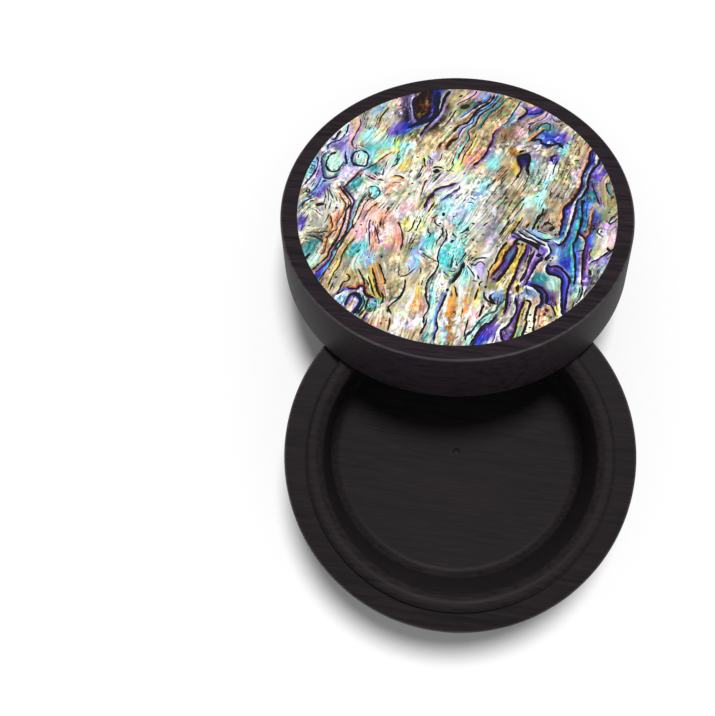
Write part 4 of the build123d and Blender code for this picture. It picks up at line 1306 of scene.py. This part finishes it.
@dataclass(frozen=True)
class Flakes:
    """Small sharp-edged flakes, as the broken layers of nacre show: their width in mm and their seed."""

    width: float
    seed: int
    degrees: float = 58.0
    stretch: float = 1.6

    def split(self, points: np.ndarray) -> tuple[np.ndarray, np.ndarray]:
        """Splits the lid into flakes.

        Args:
            points: Places on the lid.

        Returns:
            For each point its flake's shift, as an (n, 2) array, and its flake's tone, all from -1 to 1.
        """
        lattice = np.random.default_rng(self.seed).uniform(-1, 1, (5, LATTICE, LATTICE))
        slant = math.radians(self.degrees)
        along = points @ (math.cos(slant), math.sin(slant)) / (self.width * self.stretch)
        across = points @ (-math.sin(slant), math.cos(slant)) / self.width
        place = np.stack([along, across], axis=-1) + LATTICE / 2
        best, flake = np.full(len(points), FAR), np.zeros((len(points), 2), int)
        for step in np.ndindex(3, 3):
            cell = np.floor(place).astype(int) + step - 1
            middle = cell + 0.5 + 0.5 * lattice[:2, cell[:, 1] % LATTICE, cell[:, 0] % LATTICE].T
            gap = ((place - middle) ** 2).sum(-1)
            closer = gap < best
            best, flake = np.where(closer, gap, best), np.where(closer[:, None], cell, flake)
        values = lattice[:, flake[:, 1] % LATTICE, flake[:, 0] % LATTICE]
        return values[2:4].T, values[4]


class ShellPainter:
    """Works out the shell's colour, grain and lines from the drawing, at points in mm on the lid."""

    # Grain: a slant that sways and steepens towards the foot, and that the growth lines bend
    grid_step = 1.0
    reach = 37.0
    shell_radius = 36.0
    grain_degrees = 60.0
    grain_sway = Cloud(14.0, 3)
    sway_degrees = 10
    foot_degrees = 14
    grain_pull = 1.3
    fewest_curve_points = 6
    streak_step = 0.22
    streak_spread = 0.5
    fine_streaks = Streaks(0.24, 11, 7)
    broad_streaks = Streaks(0.8, 12, 14)

    # Ground under everything
    warm_ground = Cloud(5.0, 41, 0.5, 0.7)
    green_ground = Cloud(3.4, 42, 0.08, 0.8)
    pale_ground = Cloud(1.7, 43, 0.0, 0.9)
    warm_streaks = 0.2
    pale_streaks = 0.3
    tan_tone = 0.92
    green_strength = 0.28
    pale_strength = 0.5

    # Patches: how far they fade, and how the nacre breaks and shifts them
    ground_weight = 0.16
    patch_spread = 1.25
    patch_reach = 2.2
    fade_power = 1.25
    patch_waves = Cloud(1.1, 21)
    patch_drift = 0.45
    patch_ripples = Cloud(0.35, 23)
    ripple_drift = 0.16
    streak_drift = 0.22
    broken_layers = Cloud(4.0, 28, 0.65, 0.9)
    flakes = Flakes(1.1, 26)
    small_flakes = Flakes(0.5, 27)
    flake_jump = 0.8
    small_flake_share = 0.3

    # Pastel flashes: weighted clouds that turn the hue, and the three channels' shifts
    flash_clouds = ((1.2, Cloud(2.6, 54)), (1.0, Cloud(1.1, 51)), (0.4, Cloud(0.5, 52)))
    flash_streaks = 0.4
    flash_shifts = (0.0, 0.36, 0.68)
    flash_places = Cloud(3.0, 53, 0.5, 0.6)
    least_flash = 0.15
    flash_strength = 0.13
    flash_gain = 1.5
    dark_flash = 0.25
    flash_grain = 0.02

    # Lines and spots
    curve_step = 0.35
    line_waves = Cloud(0.5, 31)
    line_wobble = 0.1
    side_limit = 0.5
    glow_reach = 2.4
    glow_width = 0.8
    glow_strength = 0.8
    glow_grain = 0.2
    glow_range = (0.6, 1.2)
    line_swell = 1.3
    thinner_line = 0.82
    swell_share = 0.3
    swell_waves = Cloud(1.2, 61)
    swell_step = 0.35
    taper_step = 0.45
    end_width = 0.35
    mark_margin = 0.6
    ink_depth = 0.55

    # Painted highlights (bright glints) and dark scratches: the values they start at, and how sharply they
    # set in
    glint_streaks = Streaks(0.26, 71, 4)
    glint_start = 0.95
    glint_rise = 3
    bright_flake_start = 0.84
    bright_flake_rise = 7
    glint_strength = 0.5
    scratch_streaks = Streaks(0.2, 72, 5)
    scratch_thickets = Cloud(3.0, 73, 0.35, 1.5)
    scratch_start = 0.42
    scratch_rise = 4
    scratch_strength = 0.9

    # Tones of streaks and flakes, then the finished colour's range
    fine_tone = 0.09
    coarse_places = Cloud(3.5, 29, 0.3, 1.1)
    coarse_tone = 0.2
    broad_tone = 0.12
    flake_tone = 0.18
    small_flake_tone = 0.22
    vividness = 1.05
    contrast = 1.18
    middle_before = 0.52
    middle_after = 0.5
    darkest = 0.015

    def __init__(self, lines: list[GrowthLine], spots: list[Spot], patches: list[Patch]) -> None:
        """Takes the drawing and works out the grain.

        Args:
            lines: The drawing's growth lines.
            spots: Its dark spots.
            patches: Its soft patches.
        """
        self.spots, self.patches = spots, patches
        self.lines = [(mark, self._smooth(mark.points)) for mark in lines]
        self.colours = {hue: channels(hue.value) for hue in Hue}
        self.grain = self._grain_grid()

    def _smooth(self, points: tuple[tuple[float, float], ...]) -> np.ndarray:
        """Runs a smooth curve through a line's points.

        Args:
            points: The line's points.

        Returns:
            The curve's points, in short steps, as an (n, 2) array.
        """
        given = np.array(points)
        padded = np.vstack([2 * given[0] - given[1], given, 2 * given[-1] - given[-2]])
        curve = [given[0]]
        for i in range(1, len(padded) - 2):
            before, start, end, after = padded[i - 1:i + 3]
            count = max(2, int(np.linalg.norm(end - start) / self.curve_step))
            for t in np.arange(1, count + 1) / count:
                curve.append(0.5 * (2 * start + (end - before) * t
                                    + (2 * before - 5 * start + 4 * end - after) * t**2
                                    + (3 * start - before - 3 * end + after) * t**3))
        return np.array(curve)

    def _grain_grid(self) -> np.ndarray:
        """Works out the grain on a coarse grid, where the growth lines bend it.

        Returns:
            By row and column, a direction at twice the grain's angle, so that both ways along it are one.
        """
        ticks = np.arange(-self.reach, self.reach + self.grid_step, self.grid_step)
        grid = np.stack(np.meshgrid(ticks, ticks), axis=-1).reshape(-1, 2)
        towards_foot = np.clip(-grid[:, 1] / self.shell_radius, 0, 1)
        slant = self.grain_degrees + self.sway_degrees * self.grain_sway.values(grid)
        double = np.radians(2 * (slant + self.foot_degrees * towards_foot))
        total = np.stack([np.cos(double), np.sin(double)], axis=-1)
        for _, curve in self.lines:
            if len(curve) < self.fewest_curve_points:
                continue
            step = np.diff(curve, axis=0)
            middle = (curve[1:] + curve[:-1]) / 2
            double = 2 * np.arctan2(step[:, 1], step[:, 0])
            near = np.exp(-((grid[:, None] - middle[None]) ** 2).sum(-1) / (2 * self.grain_pull**2))
            total[:, 0] += near @ np.cos(double)
            total[:, 1] += near @ np.sin(double)
        return total.reshape(len(ticks), len(ticks), 2)

    def direction(self, points: np.ndarray) -> np.ndarray:
        """Reads the grain from its grid.

        Args:
            points: Places on the lid.

        Returns:
            The grain's unit direction at each point.
        """
        place = (points + self.reach) / self.grid_step
        corner = np.clip(np.floor(place).astype(int), 0, len(self.grain) - 2)
        double = between_cells(self.grain, corner, np.clip(place - corner, 0, 1))
        half = np.arctan2(double[:, 1], double[:, 0]) / 2
        return np.stack([np.cos(half), np.sin(half)], axis=-1)

    def draw_out(self, points: np.ndarray, streaks: Streaks) -> np.ndarray:
        """Random values drawn out along the grain.

        Args:
            points: Places on the lid.
            streaks: The width, the seed and the length of the streaks.

        Returns:
            One value for each point, mostly from -1 to 1.
        """
        total = smooth_noise(points, streaks.width, streaks.seed)
        for sense in (1.0, -1.0):
            here, ahead = points.copy(), self.direction(points) * sense
            for _ in range(streaks.steps):
                here = here + ahead * self.streak_step
                turned = self.direction(here)
                ahead = turned * np.sign((turned * ahead).sum(-1, keepdims=True) + NEAR_ZERO)
                total += smooth_noise(here, streaks.width, streaks.seed)
        return total / total.std() * self.streak_spread

    def paint(self, points: np.ndarray) -> dict[str, np.ndarray]:
        """Works out everything that the shell's material reads.

        Args:
            points: Places on the lid.

        Returns:
            The attributes' values: nacre and ink colours, distance to the ink's edge, and grain.
        """
        fine = self.draw_out(points, self.fine_streaks)
        broad = self.draw_out(points, self.broad_streaks)
        broken = self.broken_layers.share(points)
        shift, tone = self.flakes.split(points)
        small_shift, small_tone = self.small_flakes.split(points)
        small_jump = self.small_flake_share * self.flake_jump * small_shift
        jump = broken[:, None] * (self.flake_jump * shift + small_jump)
        drifted = points + self.patch_drift * self.patch_waves.pushes(points)
        drifted = drifted + self.ripple_drift * self.patch_ripples.pushes(points)
        drifted = drifted + self.streak_drift * broad[:, None] + jump
        colour = self._ground(points + jump, broad)
        colour = self._patches(colour, drifted)
        colour = self._flashes(colour, points, fine, broad)
        edge = np.full(len(points), self.side_limit)
        ink = np.tile(self.colours[UMBER], (len(points), 1))
        wobbled = points + self.line_wobble * self.line_waves.pushes(points)
        colour = self._lines(colour, wobbled, fine, edge, ink)
        self._spots(wobbled, edge, ink)
        colour = self._flecks(colour, points, broken * small_tone)
        fine_tone = self.fine_tone + self.coarse_tone * self.coarse_places.share(points)
        flake_tone = broken * (self.flake_tone * tone + self.small_flake_tone * small_tone)
        colour = colour * (1 + fine_tone * fine + self.broad_tone * broad + flake_tone)[:, None]
        middle = colour.mean(axis=1, keepdims=True)
        colour = middle + self.vividness * (colour - middle)
        colour = np.clip(self.middle_after + self.contrast * (colour - self.middle_before), self.darkest, 1)
        return {"nacre": colour, "ink": self.ink_depth * ink, "ink_edge": edge, "grain": fine}

    def _ground(self, points: np.ndarray, broad: np.ndarray) -> np.ndarray:
        """Makes the pale tan, grey and cream clouds under everything.

        Args:
            points: Places on the lid.
            broad: Values of the broad streaks there.

        Returns:
            The colour at each point.
        """
        warm = self.warm_ground.share(points, self.warm_streaks * broad)
        green = self.green_strength * self.green_ground.share(points)
        pale = self.pale_strength * self.pale_ground.share(points, self.pale_streaks * broad)
        colour = blend(self.colours[GREY], self.colours[TAN] * self.tan_tone, warm)
        return blend(blend(colour, self.colours[MINT], green), self.colours[CREAM], pale)

    def _patches(self, colour: np.ndarray, points: np.ndarray) -> np.ndarray:
        """Lays the patches over the ground, each fading into its neighbours.

        Args:
            colour: The ground's colour.
            points: Places on the lid, shifted as the broken nacre shifts them.

        Returns:
            The colour at each point.
        """
        total = colour * self.ground_weight
        weight = np.full(len(points), self.ground_weight)
        for patch in self.patches:
            near, along, across = patch.find(points, self.patch_reach * patch.long + self.mark_margin)
            along, across = along / self.patch_spread, across / self.patch_spread
            strength = patch.weight**2 * np.exp(-(along**2 + across**2) ** self.fade_power)
            total[near] += strength[:, None] * self.colours[patch.hue]
            weight[near] += strength
        return total / weight[:, None]

    def _flashes(self, colour: np.ndarray, points: np.ndarray, fine: np.ndarray,
                 broad: np.ndarray) -> np.ndarray:
        """Adds the small pastel flashes that change from one layer of nacre to the next.

        Args:
            colour: The colour so far.
            points: Places on the lid.
            fine: Values of the fine streaks there.
            broad: Values of the broad streaks there.

        Returns:
            The colour at each point.
        """
        phase = sum(weight * cloud.values(points) for weight, cloud in self.flash_clouds)
        phase = phase + self.flash_streaks * broad
        flash = np.stack([np.cos(math.tau * (phase + shift)) for shift in self.flash_shifts], axis=-1)
        places = self.flash_places.share(points).clip(self.least_flash)[:, None]
        light = np.clip(colour.mean(-1, keepdims=True) * self.flash_gain, self.dark_flash, 1)
        return colour + self.flash_strength * flash * places * light + self.flash_grain * fine[:, None]

    @staticmethod
    def _nearest(curve: np.ndarray, points: np.ndarray) -> tuple[np.ndarray, np.ndarray, np.ndarray]:
        """Finds where points lie by a curve.

        Args:
            curve: The curve's points.
            points: Places on the lid.

        Returns:
            Each point's distance, its side, -1 or 1, and its share of the way along the curve.
        """
        steps = np.diff(curve, axis=0)
        best, side, run = np.full(len(points), FAR), np.zeros(len(points)), np.zeros(len(points))
        for i, (start, ahead) in enumerate(zip(curve, steps)):
            away = points - start
            share = np.clip(away @ ahead / (ahead @ ahead), 0, 1)
            gap = np.hypot(*(away - share[:, None] * ahead).T)
            turned = ahead[0] * away[:, 1] - ahead[1] * away[:, 0]
            closer = gap < best
            best, side = np.where(closer, gap, best), np.where(closer, np.sign(turned), side)
            run = np.where(closer, (i + share) / len(steps), run)
        return best, side, run

    def _lines(self, colour: np.ndarray, points: np.ndarray, fine: np.ndarray, edge: np.ndarray,
               ink: np.ndarray) -> np.ndarray:
        """Draws each growth line's glow into the colour, and the line itself into edge and ink.

        Args:
            colour: The colour so far.
            points: Places on the lid, a little wobbled.
            fine: Values of the fine streaks there.
            edge: Distances to the nearest mark's edge, which are changed.
            ink: Colours of the nearest marks, which are changed.

        Returns:
            The colour with the glows.
        """
        for number, (mark, curve) in enumerate(self.lines):
            reach = mark.width + self.glow_reach * mark.glow
            low, high = curve.min(0) - reach, curve.max(0) + reach
            near = np.flatnonzero(((points > low) & (points < high)).all(-1))
            if not len(near):
                continue
            away, side, run = self._nearest(curve, points[near])
            ragged = (1 + self.glow_grain * fine[near]).clip(*self.glow_range)
            for hue, sense in ((mark.left, -1), (mark.right, 1)):
                if hue is None:
                    continue
                past = np.clip(away - mark.width / 2, 0, None) / (self.glow_width * mark.glow)
                glow = np.exp(-past**2) * (side == sense) * self.glow_strength * ragged
                colour[near] = blend(colour[near], self.colours[hue], glow)
            steps = len(curve) - 1
            place = np.stack([run * steps * self.swell_step, np.full(len(run), float(number))], axis=-1)
            swell = self.thinner_line + self.swell_share * self.swell_waves.values(place)
            taper = np.clip(np.minimum(run, 1 - run) * steps * self.taper_step + self.end_width, 0, 1)
            gap = away - mark.width / 2 * self.line_swell * swell * taper
            self._ink(near, gap, self.colours[mark.ink], edge, ink)
        return colour

    def _spots(self, points: np.ndarray, edge: np.ndarray, ink: np.ndarray) -> None:
        """Draws the dark spots.

        Args:
            points: Places on the lid, a little wobbled.
            edge: Distances to the nearest mark's edge, which are changed.
            ink: Colours of the nearest marks, which are changed.
        """
        for spot in self.spots:
            near, along, across = spot.find(points, spot.long + self.mark_margin)
            gap = (np.hypot(along, across) - 1) * spot.wide
            self._ink(near, gap, self.colours[spot.hue], edge, ink)

    @staticmethod
    def _ink(near: np.ndarray, gap: np.ndarray, colour: np.ndarray, edge: np.ndarray,
             ink: np.ndarray) -> None:
        """Gives points to a mark where its edge is closer than those of the marks before it.

        Args:
            near: Numbers of the points near the mark.
            gap: Their distances to its edge, below 0 inside.
            colour: The mark's colour.
            edge: Distances to the nearest mark's edge, which are changed.
            ink: Colours of the nearest marks, which are changed.
        """
        won = gap < edge[near]
        edge[near] = np.where(won, gap, edge[near])
        ink[near] = np.where(won[:, None], colour, ink[near])

    def _flecks(self, colour: np.ndarray, points: np.ndarray, tone: np.ndarray) -> np.ndarray:
        """Scatters bright glints, which are painted highlights, along the grain and on some flakes, and thin
        dark scratches.

        Args:
            colour: The colour so far.
            points: Places on the lid.
            tone: Tones of the small flakes there.

        Returns:
            The colour at each point.
        """
        # The glints are painted highlights: white laid into the colour
        glint = (self.draw_out(points, self.glint_streaks) - self.glint_start) * self.glint_rise
        glint = np.maximum(glint, (tone - self.bright_flake_start) * self.bright_flake_rise)
        colour = blend(colour, self.colours[WHITE], self.glint_strength * np.clip(glint, 0, 1))
        scratch = self.draw_out(points, self.scratch_streaks) * self.scratch_thickets.share(points)
        dark = np.clip((scratch - self.scratch_start) * self.scratch_rise, 0, self.scratch_strength)
        return blend(colour, self.colours[UMBER], dark)


@dataclass(frozen=True)
class LacqueredShell:
    """Abalone shell under clear polished lacquer: layered nacre with drawn-out grain and growth lines."""

    ink_softness: float = 0.06
    grain_size: float = 0.22
    grain_range: tuple[float, float] = (0.3, 0.7)
    grain_tones: tuple[float, float] = (0.9, 1.1)
    nacre_roughness: float = 0.34
    specular_level: float = 0.25
    coat_roughness: float = 0.06
    coat_weight: float = 0.35
    relief: float = 0.01
    relief_strength: float = 0.2

    def build(self, name: str) -> bpy.types.Material:
        """Makes the material, which reads the painter's attributes.

        Args:
            name: The material's name.

        Returns:
            The material.
        """
        material, tree = new_material(name)
        nacre = add_node(tree, "ShaderNodeAttribute", {"attribute_name": "nacre"}).outputs["Color"]
        ink = add_node(tree, "ShaderNodeAttribute", {"attribute_name": "ink"}).outputs["Color"]
        edge = add_node(tree, "ShaderNodeAttribute", {"attribute_name": "ink_edge"}).outputs["Fac"]
        grain = add_node(tree, "ShaderNodeAttribute", {"attribute_name": "grain"}).outputs["Fac"]
        place = add_node(tree, "ShaderNodeTexCoord").outputs["Object"]
        sparkle = add_node(tree, "ShaderNodeTexNoise", None, {
            "Vector": place, "Scale": 1 / (self.grain_size * MM), "Detail": 2.0,
        }).outputs["Fac"]
        shimmer = add_node(tree, "ShaderNodeMapRange", None, {
            "Value": sparkle, "From Min": self.grain_range[0], "From Max": self.grain_range[1],
            "To Min": self.grain_tones[0], "To Max": self.grain_tones[1],
        }).outputs["Result"]
        lit = add_node(tree, "ShaderNodeVectorMath", {"operation": "SCALE"}, {
            0: nacre, "Scale": shimmer,
        }).outputs[0]
        inked = add_node(tree, "ShaderNodeMapRange", {"interpolation_type": "SMOOTHSTEP"}, {
            "Value": edge, "From Min": self.ink_softness, "From Max": -self.ink_softness,
        }).outputs["Result"]
        colour = add_node(tree, "ShaderNodeMix", {"data_type": "RGBA"}, {
            0: inked, 6: lit, 7: ink,
        }).outputs[2]
        height = add_node(tree, "ShaderNodeMath", {"operation": "ADD"}, {0: grain, 1: sparkle}).outputs[0]
        bump = add_node(tree, "ShaderNodeBump", None, {
            "Height": height, "Strength": self.relief_strength, "Distance": self.relief * MM,
        }).outputs["Normal"]
        shader = add_node(tree, "ShaderNodeBsdfPrincipled", None, {
            "Base Color": colour, "Roughness": self.nacre_roughness, "Normal": bump,
            "Specular IOR Level": self.specular_level, "Coat Weight": self.coat_weight,
            "Coat Roughness": self.coat_roughness,
        })
        add_node(tree, "ShaderNodeOutputMaterial", None, {"Surface": shader.outputs[0]})
        return material


@dataclass
class ShellInlay:
    """The shell slips: how finely they are meshed, and how close they lie, in mm."""

    top: float = 15.2
    thickness: float = 0.9
    mesh_step: float = 0.15
    seam_closing: float = 0.045
    rim_margin: float = 0.0675
    sharpest_corner: float = 0.5
    digits: int = 3
    weld_distance: float = 1e-6

    def outline(self, node: bpy.types.Object, place: LidPlace) -> np.ndarray:
        """Walks round the top face of a packed slip.

        Args:
            node: The slip's node.
            place: Where the lid leans.

        Returns:
            The outline's corners in mm on the lid, anticlockwise.
        """
        to_lid = place.matrix().inverted()
        points = [to_lid @ vertex.co for vertex in node.data.vertices]
        places = [(round(point.x, self.digits), round(point.y, self.digits)) for point in points]
        names: dict[tuple[float, float], int] = {}
        keys = [names.setdefault(place_on_lid, len(names)) for place_on_lid in places]
        corners = np.array(list(names))
        half_way = self.top - self.thickness / 2
        following: dict[int, int] = {}
        sides = set()
        for polygon in node.data.polygons:
            if min(points[i].z for i in polygon.vertices) > half_way:
                around = [keys[i] for i in polygon.vertices]
                sides |= {pair for pair in zip(around, around[1:] + around[:1]) if pair[0] != pair[1]}
        for start, end in sides:
            if (end, start) not in sides:
                following[start] = end
        walk = [min(following)]
        while following[walk[-1]] != walk[0]:
            walk.append(following[walk[-1]])
        loop = corners[walk]
        turned = np.roll(loop, -1, axis=0)
        area = (loop[:, 0] * turned[:, 1] - loop[:, 1] * turned[:, 0]).sum()
        return loop if area > 0 else loop[::-1]

    def sheet(self, loop: np.ndarray) -> tuple[np.ndarray, list[tuple[int, int, int]], int]:
        """Fills an outline with a fine triangle mesh.

        Args:
            loop: The outline's corners, anticlockwise.

        Returns:
            The mesh's points, its triangles, and how many of its first points are on the rim.
        """
        ahead = np.roll(loop, -1, axis=0) - loop
        ahead /= np.linalg.norm(ahead, axis=1, keepdims=True)
        behind = np.roll(ahead, 1, axis=0)
        out = np.stack([ahead[:, 1] + behind[:, 1], -ahead[:, 0] - behind[:, 0]], axis=-1)
        out /= (1 + (ahead * behind).sum(-1, keepdims=True)).clip(self.sharpest_corner)
        grown = loop + out * self.seam_closing
        rim = []
        for start, end in zip(grown, np.roll(grown, -1, axis=0)):
            count = max(1, int(np.linalg.norm(end - start) / self.mesh_step))
            rim += [start + (end - start) * i / count for i in range(count)]
        rim = np.array(rim)
        low, high = rim.min(0), rim.max(0)
        rows = np.arange(low[1], high[1], self.mesh_step * math.sqrt(3) / 2)
        columns = np.arange(low[0], high[0], self.mesh_step)
        grid = np.stack(np.meshgrid(columns, rows), axis=-1)
        grid[1::2, :, 0] += self.mesh_step / 2
        grid = grid.reshape(-1, 2)
        inside = np.zeros(len(grid), bool)
        gap = np.full(len(grid), FAR)
        for start, end in zip(grown, np.roll(grown, -1, axis=0)):
            step, away = end - start, grid - start
            crosses = (start[1] > grid[:, 1]) != (end[1] > grid[:, 1])
            reach = step[0] * away[:, 1] / (step[1] or NEAR_ZERO)
            inside ^= crosses & (away[:, 0] < reach)
            share = np.clip(away @ step / (step @ step), 0, 1)
            gap = np.minimum(gap, np.hypot(*(away - share[:, None] * step).T))
        points = np.vstack([rim, grid[inside & (gap > self.rim_margin)]])
        filled = self._fill(points, len(rim))
        return np.array([tuple(v) for v in filled[0]]), [tuple(face) for face in filled[2]], len(rim)

    def _fill(self, points: np.ndarray, rim: int) -> list:
        """Joins points to triangles inside the rim that the first of them make."""
        edges = [(i, (i + 1) % rim) for i in range(rim)]
        return delaunay_2d_cdt([Vector(point) for point in points], edges, [], 1, self.weld_distance)

    def build(self, node: bpy.types.Object, place: LidPlace, painter: ShellPainter,
              finish: bpy.types.Material) -> bpy.types.Object:
        """Makes one slip as a closed sheet that carries the drawing.

        Args:
            node: The slip's node.
            place: Where the lid leans.
            painter: Works out the shell's colours.
            finish: The slip's material.

        Returns:
            The piece.
        """
        points, faces, rim = self.sheet(self.outline(node, place))
        count = len(points)
        top = [(x, y, self.top) for x, y in points]
        foot = [(x, y, self.top - self.thickness) for x, y in points[:rim]]
        under = self._fill(points[:rim], rim)
        walls = [(i, count + i, count + (i + 1) % rim, (i + 1) % rim) for i in range(rim)]
        below = [tuple(count + i for i in reversed(face)) for face in under[2]]
        mesh = bpy.data.meshes.new(f"fine_{node.name}")
        mesh.from_pydata(top + foot, [], faces + walls + below)
        mesh.transform(place.matrix())
        painted = painter.paint(points)
        for name in ("nacre", "ink"):
            values = to_linear(np.vstack([painted[name], painted[name][:rim]]))
            layer = mesh.attributes.new(name, "FLOAT_COLOR", "POINT")
            layer.data.foreach_set("color", np.hstack([values, np.ones((len(values), 1))]).ravel())
        for name in ("ink_edge", "grain"):
            layer = mesh.attributes.new(name, "FLOAT", "POINT")
            layer.data.foreach_set("value", np.concatenate([painted[name], painted[name][:rim]]))
        mesh.materials.append(finish)
        piece = add_object(mesh.name, mesh)
        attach(piece, "box_lid")
        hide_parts(node.name)
        return piece


@dataclass
class PhotoCamera:
    """The camera: nearly overhead, a little to the left of the box. Sizes are mm, angles degrees."""

    place: tuple[float, float, float] = (-12.99, 21.55, 383.1)
    aim_left: float = 1.674
    aim_back: float = 0.162
    focal_pixels: float = 1543.0
    sensor: float = 36.0
    nearest: float = 10.0
    farthest: float = 20000.0

    def build(self) -> None:
        """Makes the camera and hands it to the scene."""
        data = bpy.data.cameras.new("photo_camera")
        data.sensor_width = self.sensor
        data.sensor_fit = "AUTO"
        data.lens = self.sensor * self.focal_pixels / IMAGE_HEIGHT
        data.clip_start = self.nearest * MM
        data.clip_end = self.farthest * MM
        camera = add_object("photo_camera", data)
        left, back = math.radians(self.aim_left), math.radians(self.aim_back)
        ahead = Vector((-math.sin(left), math.sin(back), -1)).normalized()
        up = (Vector((0, 1, 0)) - ahead * ahead.y).normalized()
        right = ahead.cross(up)
        turn = Matrix((right, up, -ahead)).transposed().to_4x4()
        camera.matrix_world = Matrix.Translation(Vector(self.place) * MM) @ turn
        bpy.context.scene.camera = camera


@dataclass
class Studio:
    """A plain white table, its half width in m, and soft light from above and a little behind."""

    floor_half: float = 1.5
    floor_colour: str = "#f4f4f4"
    floor_seen: float = 1.04
    key_degrees_back: float = 19.0
    key_degrees_right: float = 2.5
    key_softness_degrees: float = 12.0
    key_share: float = 0.74
    fill_share: float = 0.28

    def build(self) -> None:
        """Makes the floor, the key light and the world, and sets plain colour handling."""
        self._floor()
        self._key()
        self._world()
        bpy.context.scene.view_settings.view_transform = "Standard"

    def _floor(self) -> None:
        """Makes the white table top."""
        half = self.floor_half
        mesh = bpy.data.meshes.new("table_top")
        corners = [(-half, -half, 0), (half, -half, 0), (half, half, 0), (-half, half, 0)]
        mesh.from_pydata(corners, [], [(0, 1, 2, 3)])
        floor = add_object("table_top", mesh)
        # Matt card, a diffuse white without any shine, which the camera sees as plain white
        material, tree = new_material("matt_white_card")
        seen = add_node(tree, "ShaderNodeLightPath").outputs["Is Camera Ray"]
        tone = add_node(tree, "ShaderNodeMix", {"data_type": "RGBA"}, {
            0: seen, 6: linear(self.floor_colour), 7: (self.floor_seen, self.floor_seen, self.floor_seen, 1),
        }).outputs[2]
        shader = add_node(tree, "ShaderNodeBsdfDiffuse", None, {"Color": tone})
        add_node(tree, "ShaderNodeOutputMaterial", None, {"Surface": shader.outputs[0]})
        mesh.materials.append(material)

    def _key(self) -> None:
        """Makes the key light, a broad soft source far overhead."""
        tilt = math.radians(self.key_degrees_back)
        data = bpy.data.lights.new("key_light", "SUN")
        data.angle = math.radians(self.key_softness_degrees)
        data.energy = self.key_share * math.pi / math.cos(tilt)
        key = add_object("key_light", data)
        to_right = Matrix.Rotation(math.radians(self.key_degrees_right), 4, "Y")
        key.matrix_world = Matrix.Rotation(-tilt, 4, "X") @ to_right

    def _world(self) -> None:
        """Makes the fill light, which the camera sees as white."""
        world = bpy.data.worlds.new("studio_world")
        world.use_nodes = True
        tree = world.node_tree
        tree.nodes.clear()
        seen = add_node(tree, "ShaderNodeLightPath").outputs["Is Camera Ray"]
        fill, white = (
            add_node(tree, "ShaderNodeBackground", None, {"Color": (1, 1, 1, 1), "Strength": strength})
            for strength in (self.fill_share, 1.0)
        )
        mixed = add_node(tree, "ShaderNodeMixShader", None, {
            0: seen, 1: fill.outputs[0], 2: white.outputs[0],
        })
        add_node(tree, "ShaderNodeOutputWorld", None, {"Surface": mixed.outputs[0]})
        bpy.context.scene.world = world


def main() -> None:
    """Builds the box, its finishes, the studio and the camera."""
    logging.basicConfig(level=logging.INFO, format="%(name)s: %(message)s")
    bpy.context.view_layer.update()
    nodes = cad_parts
    base = BoxBase()
    lid = BoxLid()
    place = LidPlace.from_bed(nodes["inlay_bed"], lid.bed_middle())
    lathe = Lathe()
    base_wood = Ebony().build("waxed_ebony_base", Euler((0, 0, 0)))
    lid_wood = Ebony(heartwood="#231d23", streak="#33272b").build("waxed_ebony_lid", place.turn())
    for piece in (base.build(lathe, base_wood), lid.build(lathe, place, lid_wood)):
        LOG.info("made %s with %d faces", piece.name, len(piece.data.polygons))
    inlay = ShellInlay(top=lid.height, thickness=lid.recess_depth - lid.bed_thickness)
    painter = ShellPainter(LINES, SPOTS, PATCHES)
    nacre = LacqueredShell().build("lacquered_abalone")
    for name, node in sorted(nodes.items()):
        if name.startswith("shell_slip"):
            piece = inlay.build(node, place, painter, nacre)
            LOG.info("made %s with %d faces", piece.name, len(piece.data.polygons))
    bed = nodes["inlay_bed"]
    bed.data.materials.clear()
    bed.data.materials.append(CuredAdhesive().build("cured_black_epoxy"))
    Studio().build()
    PhotoCamera().build()


if __name__ == "__main__":
    main()
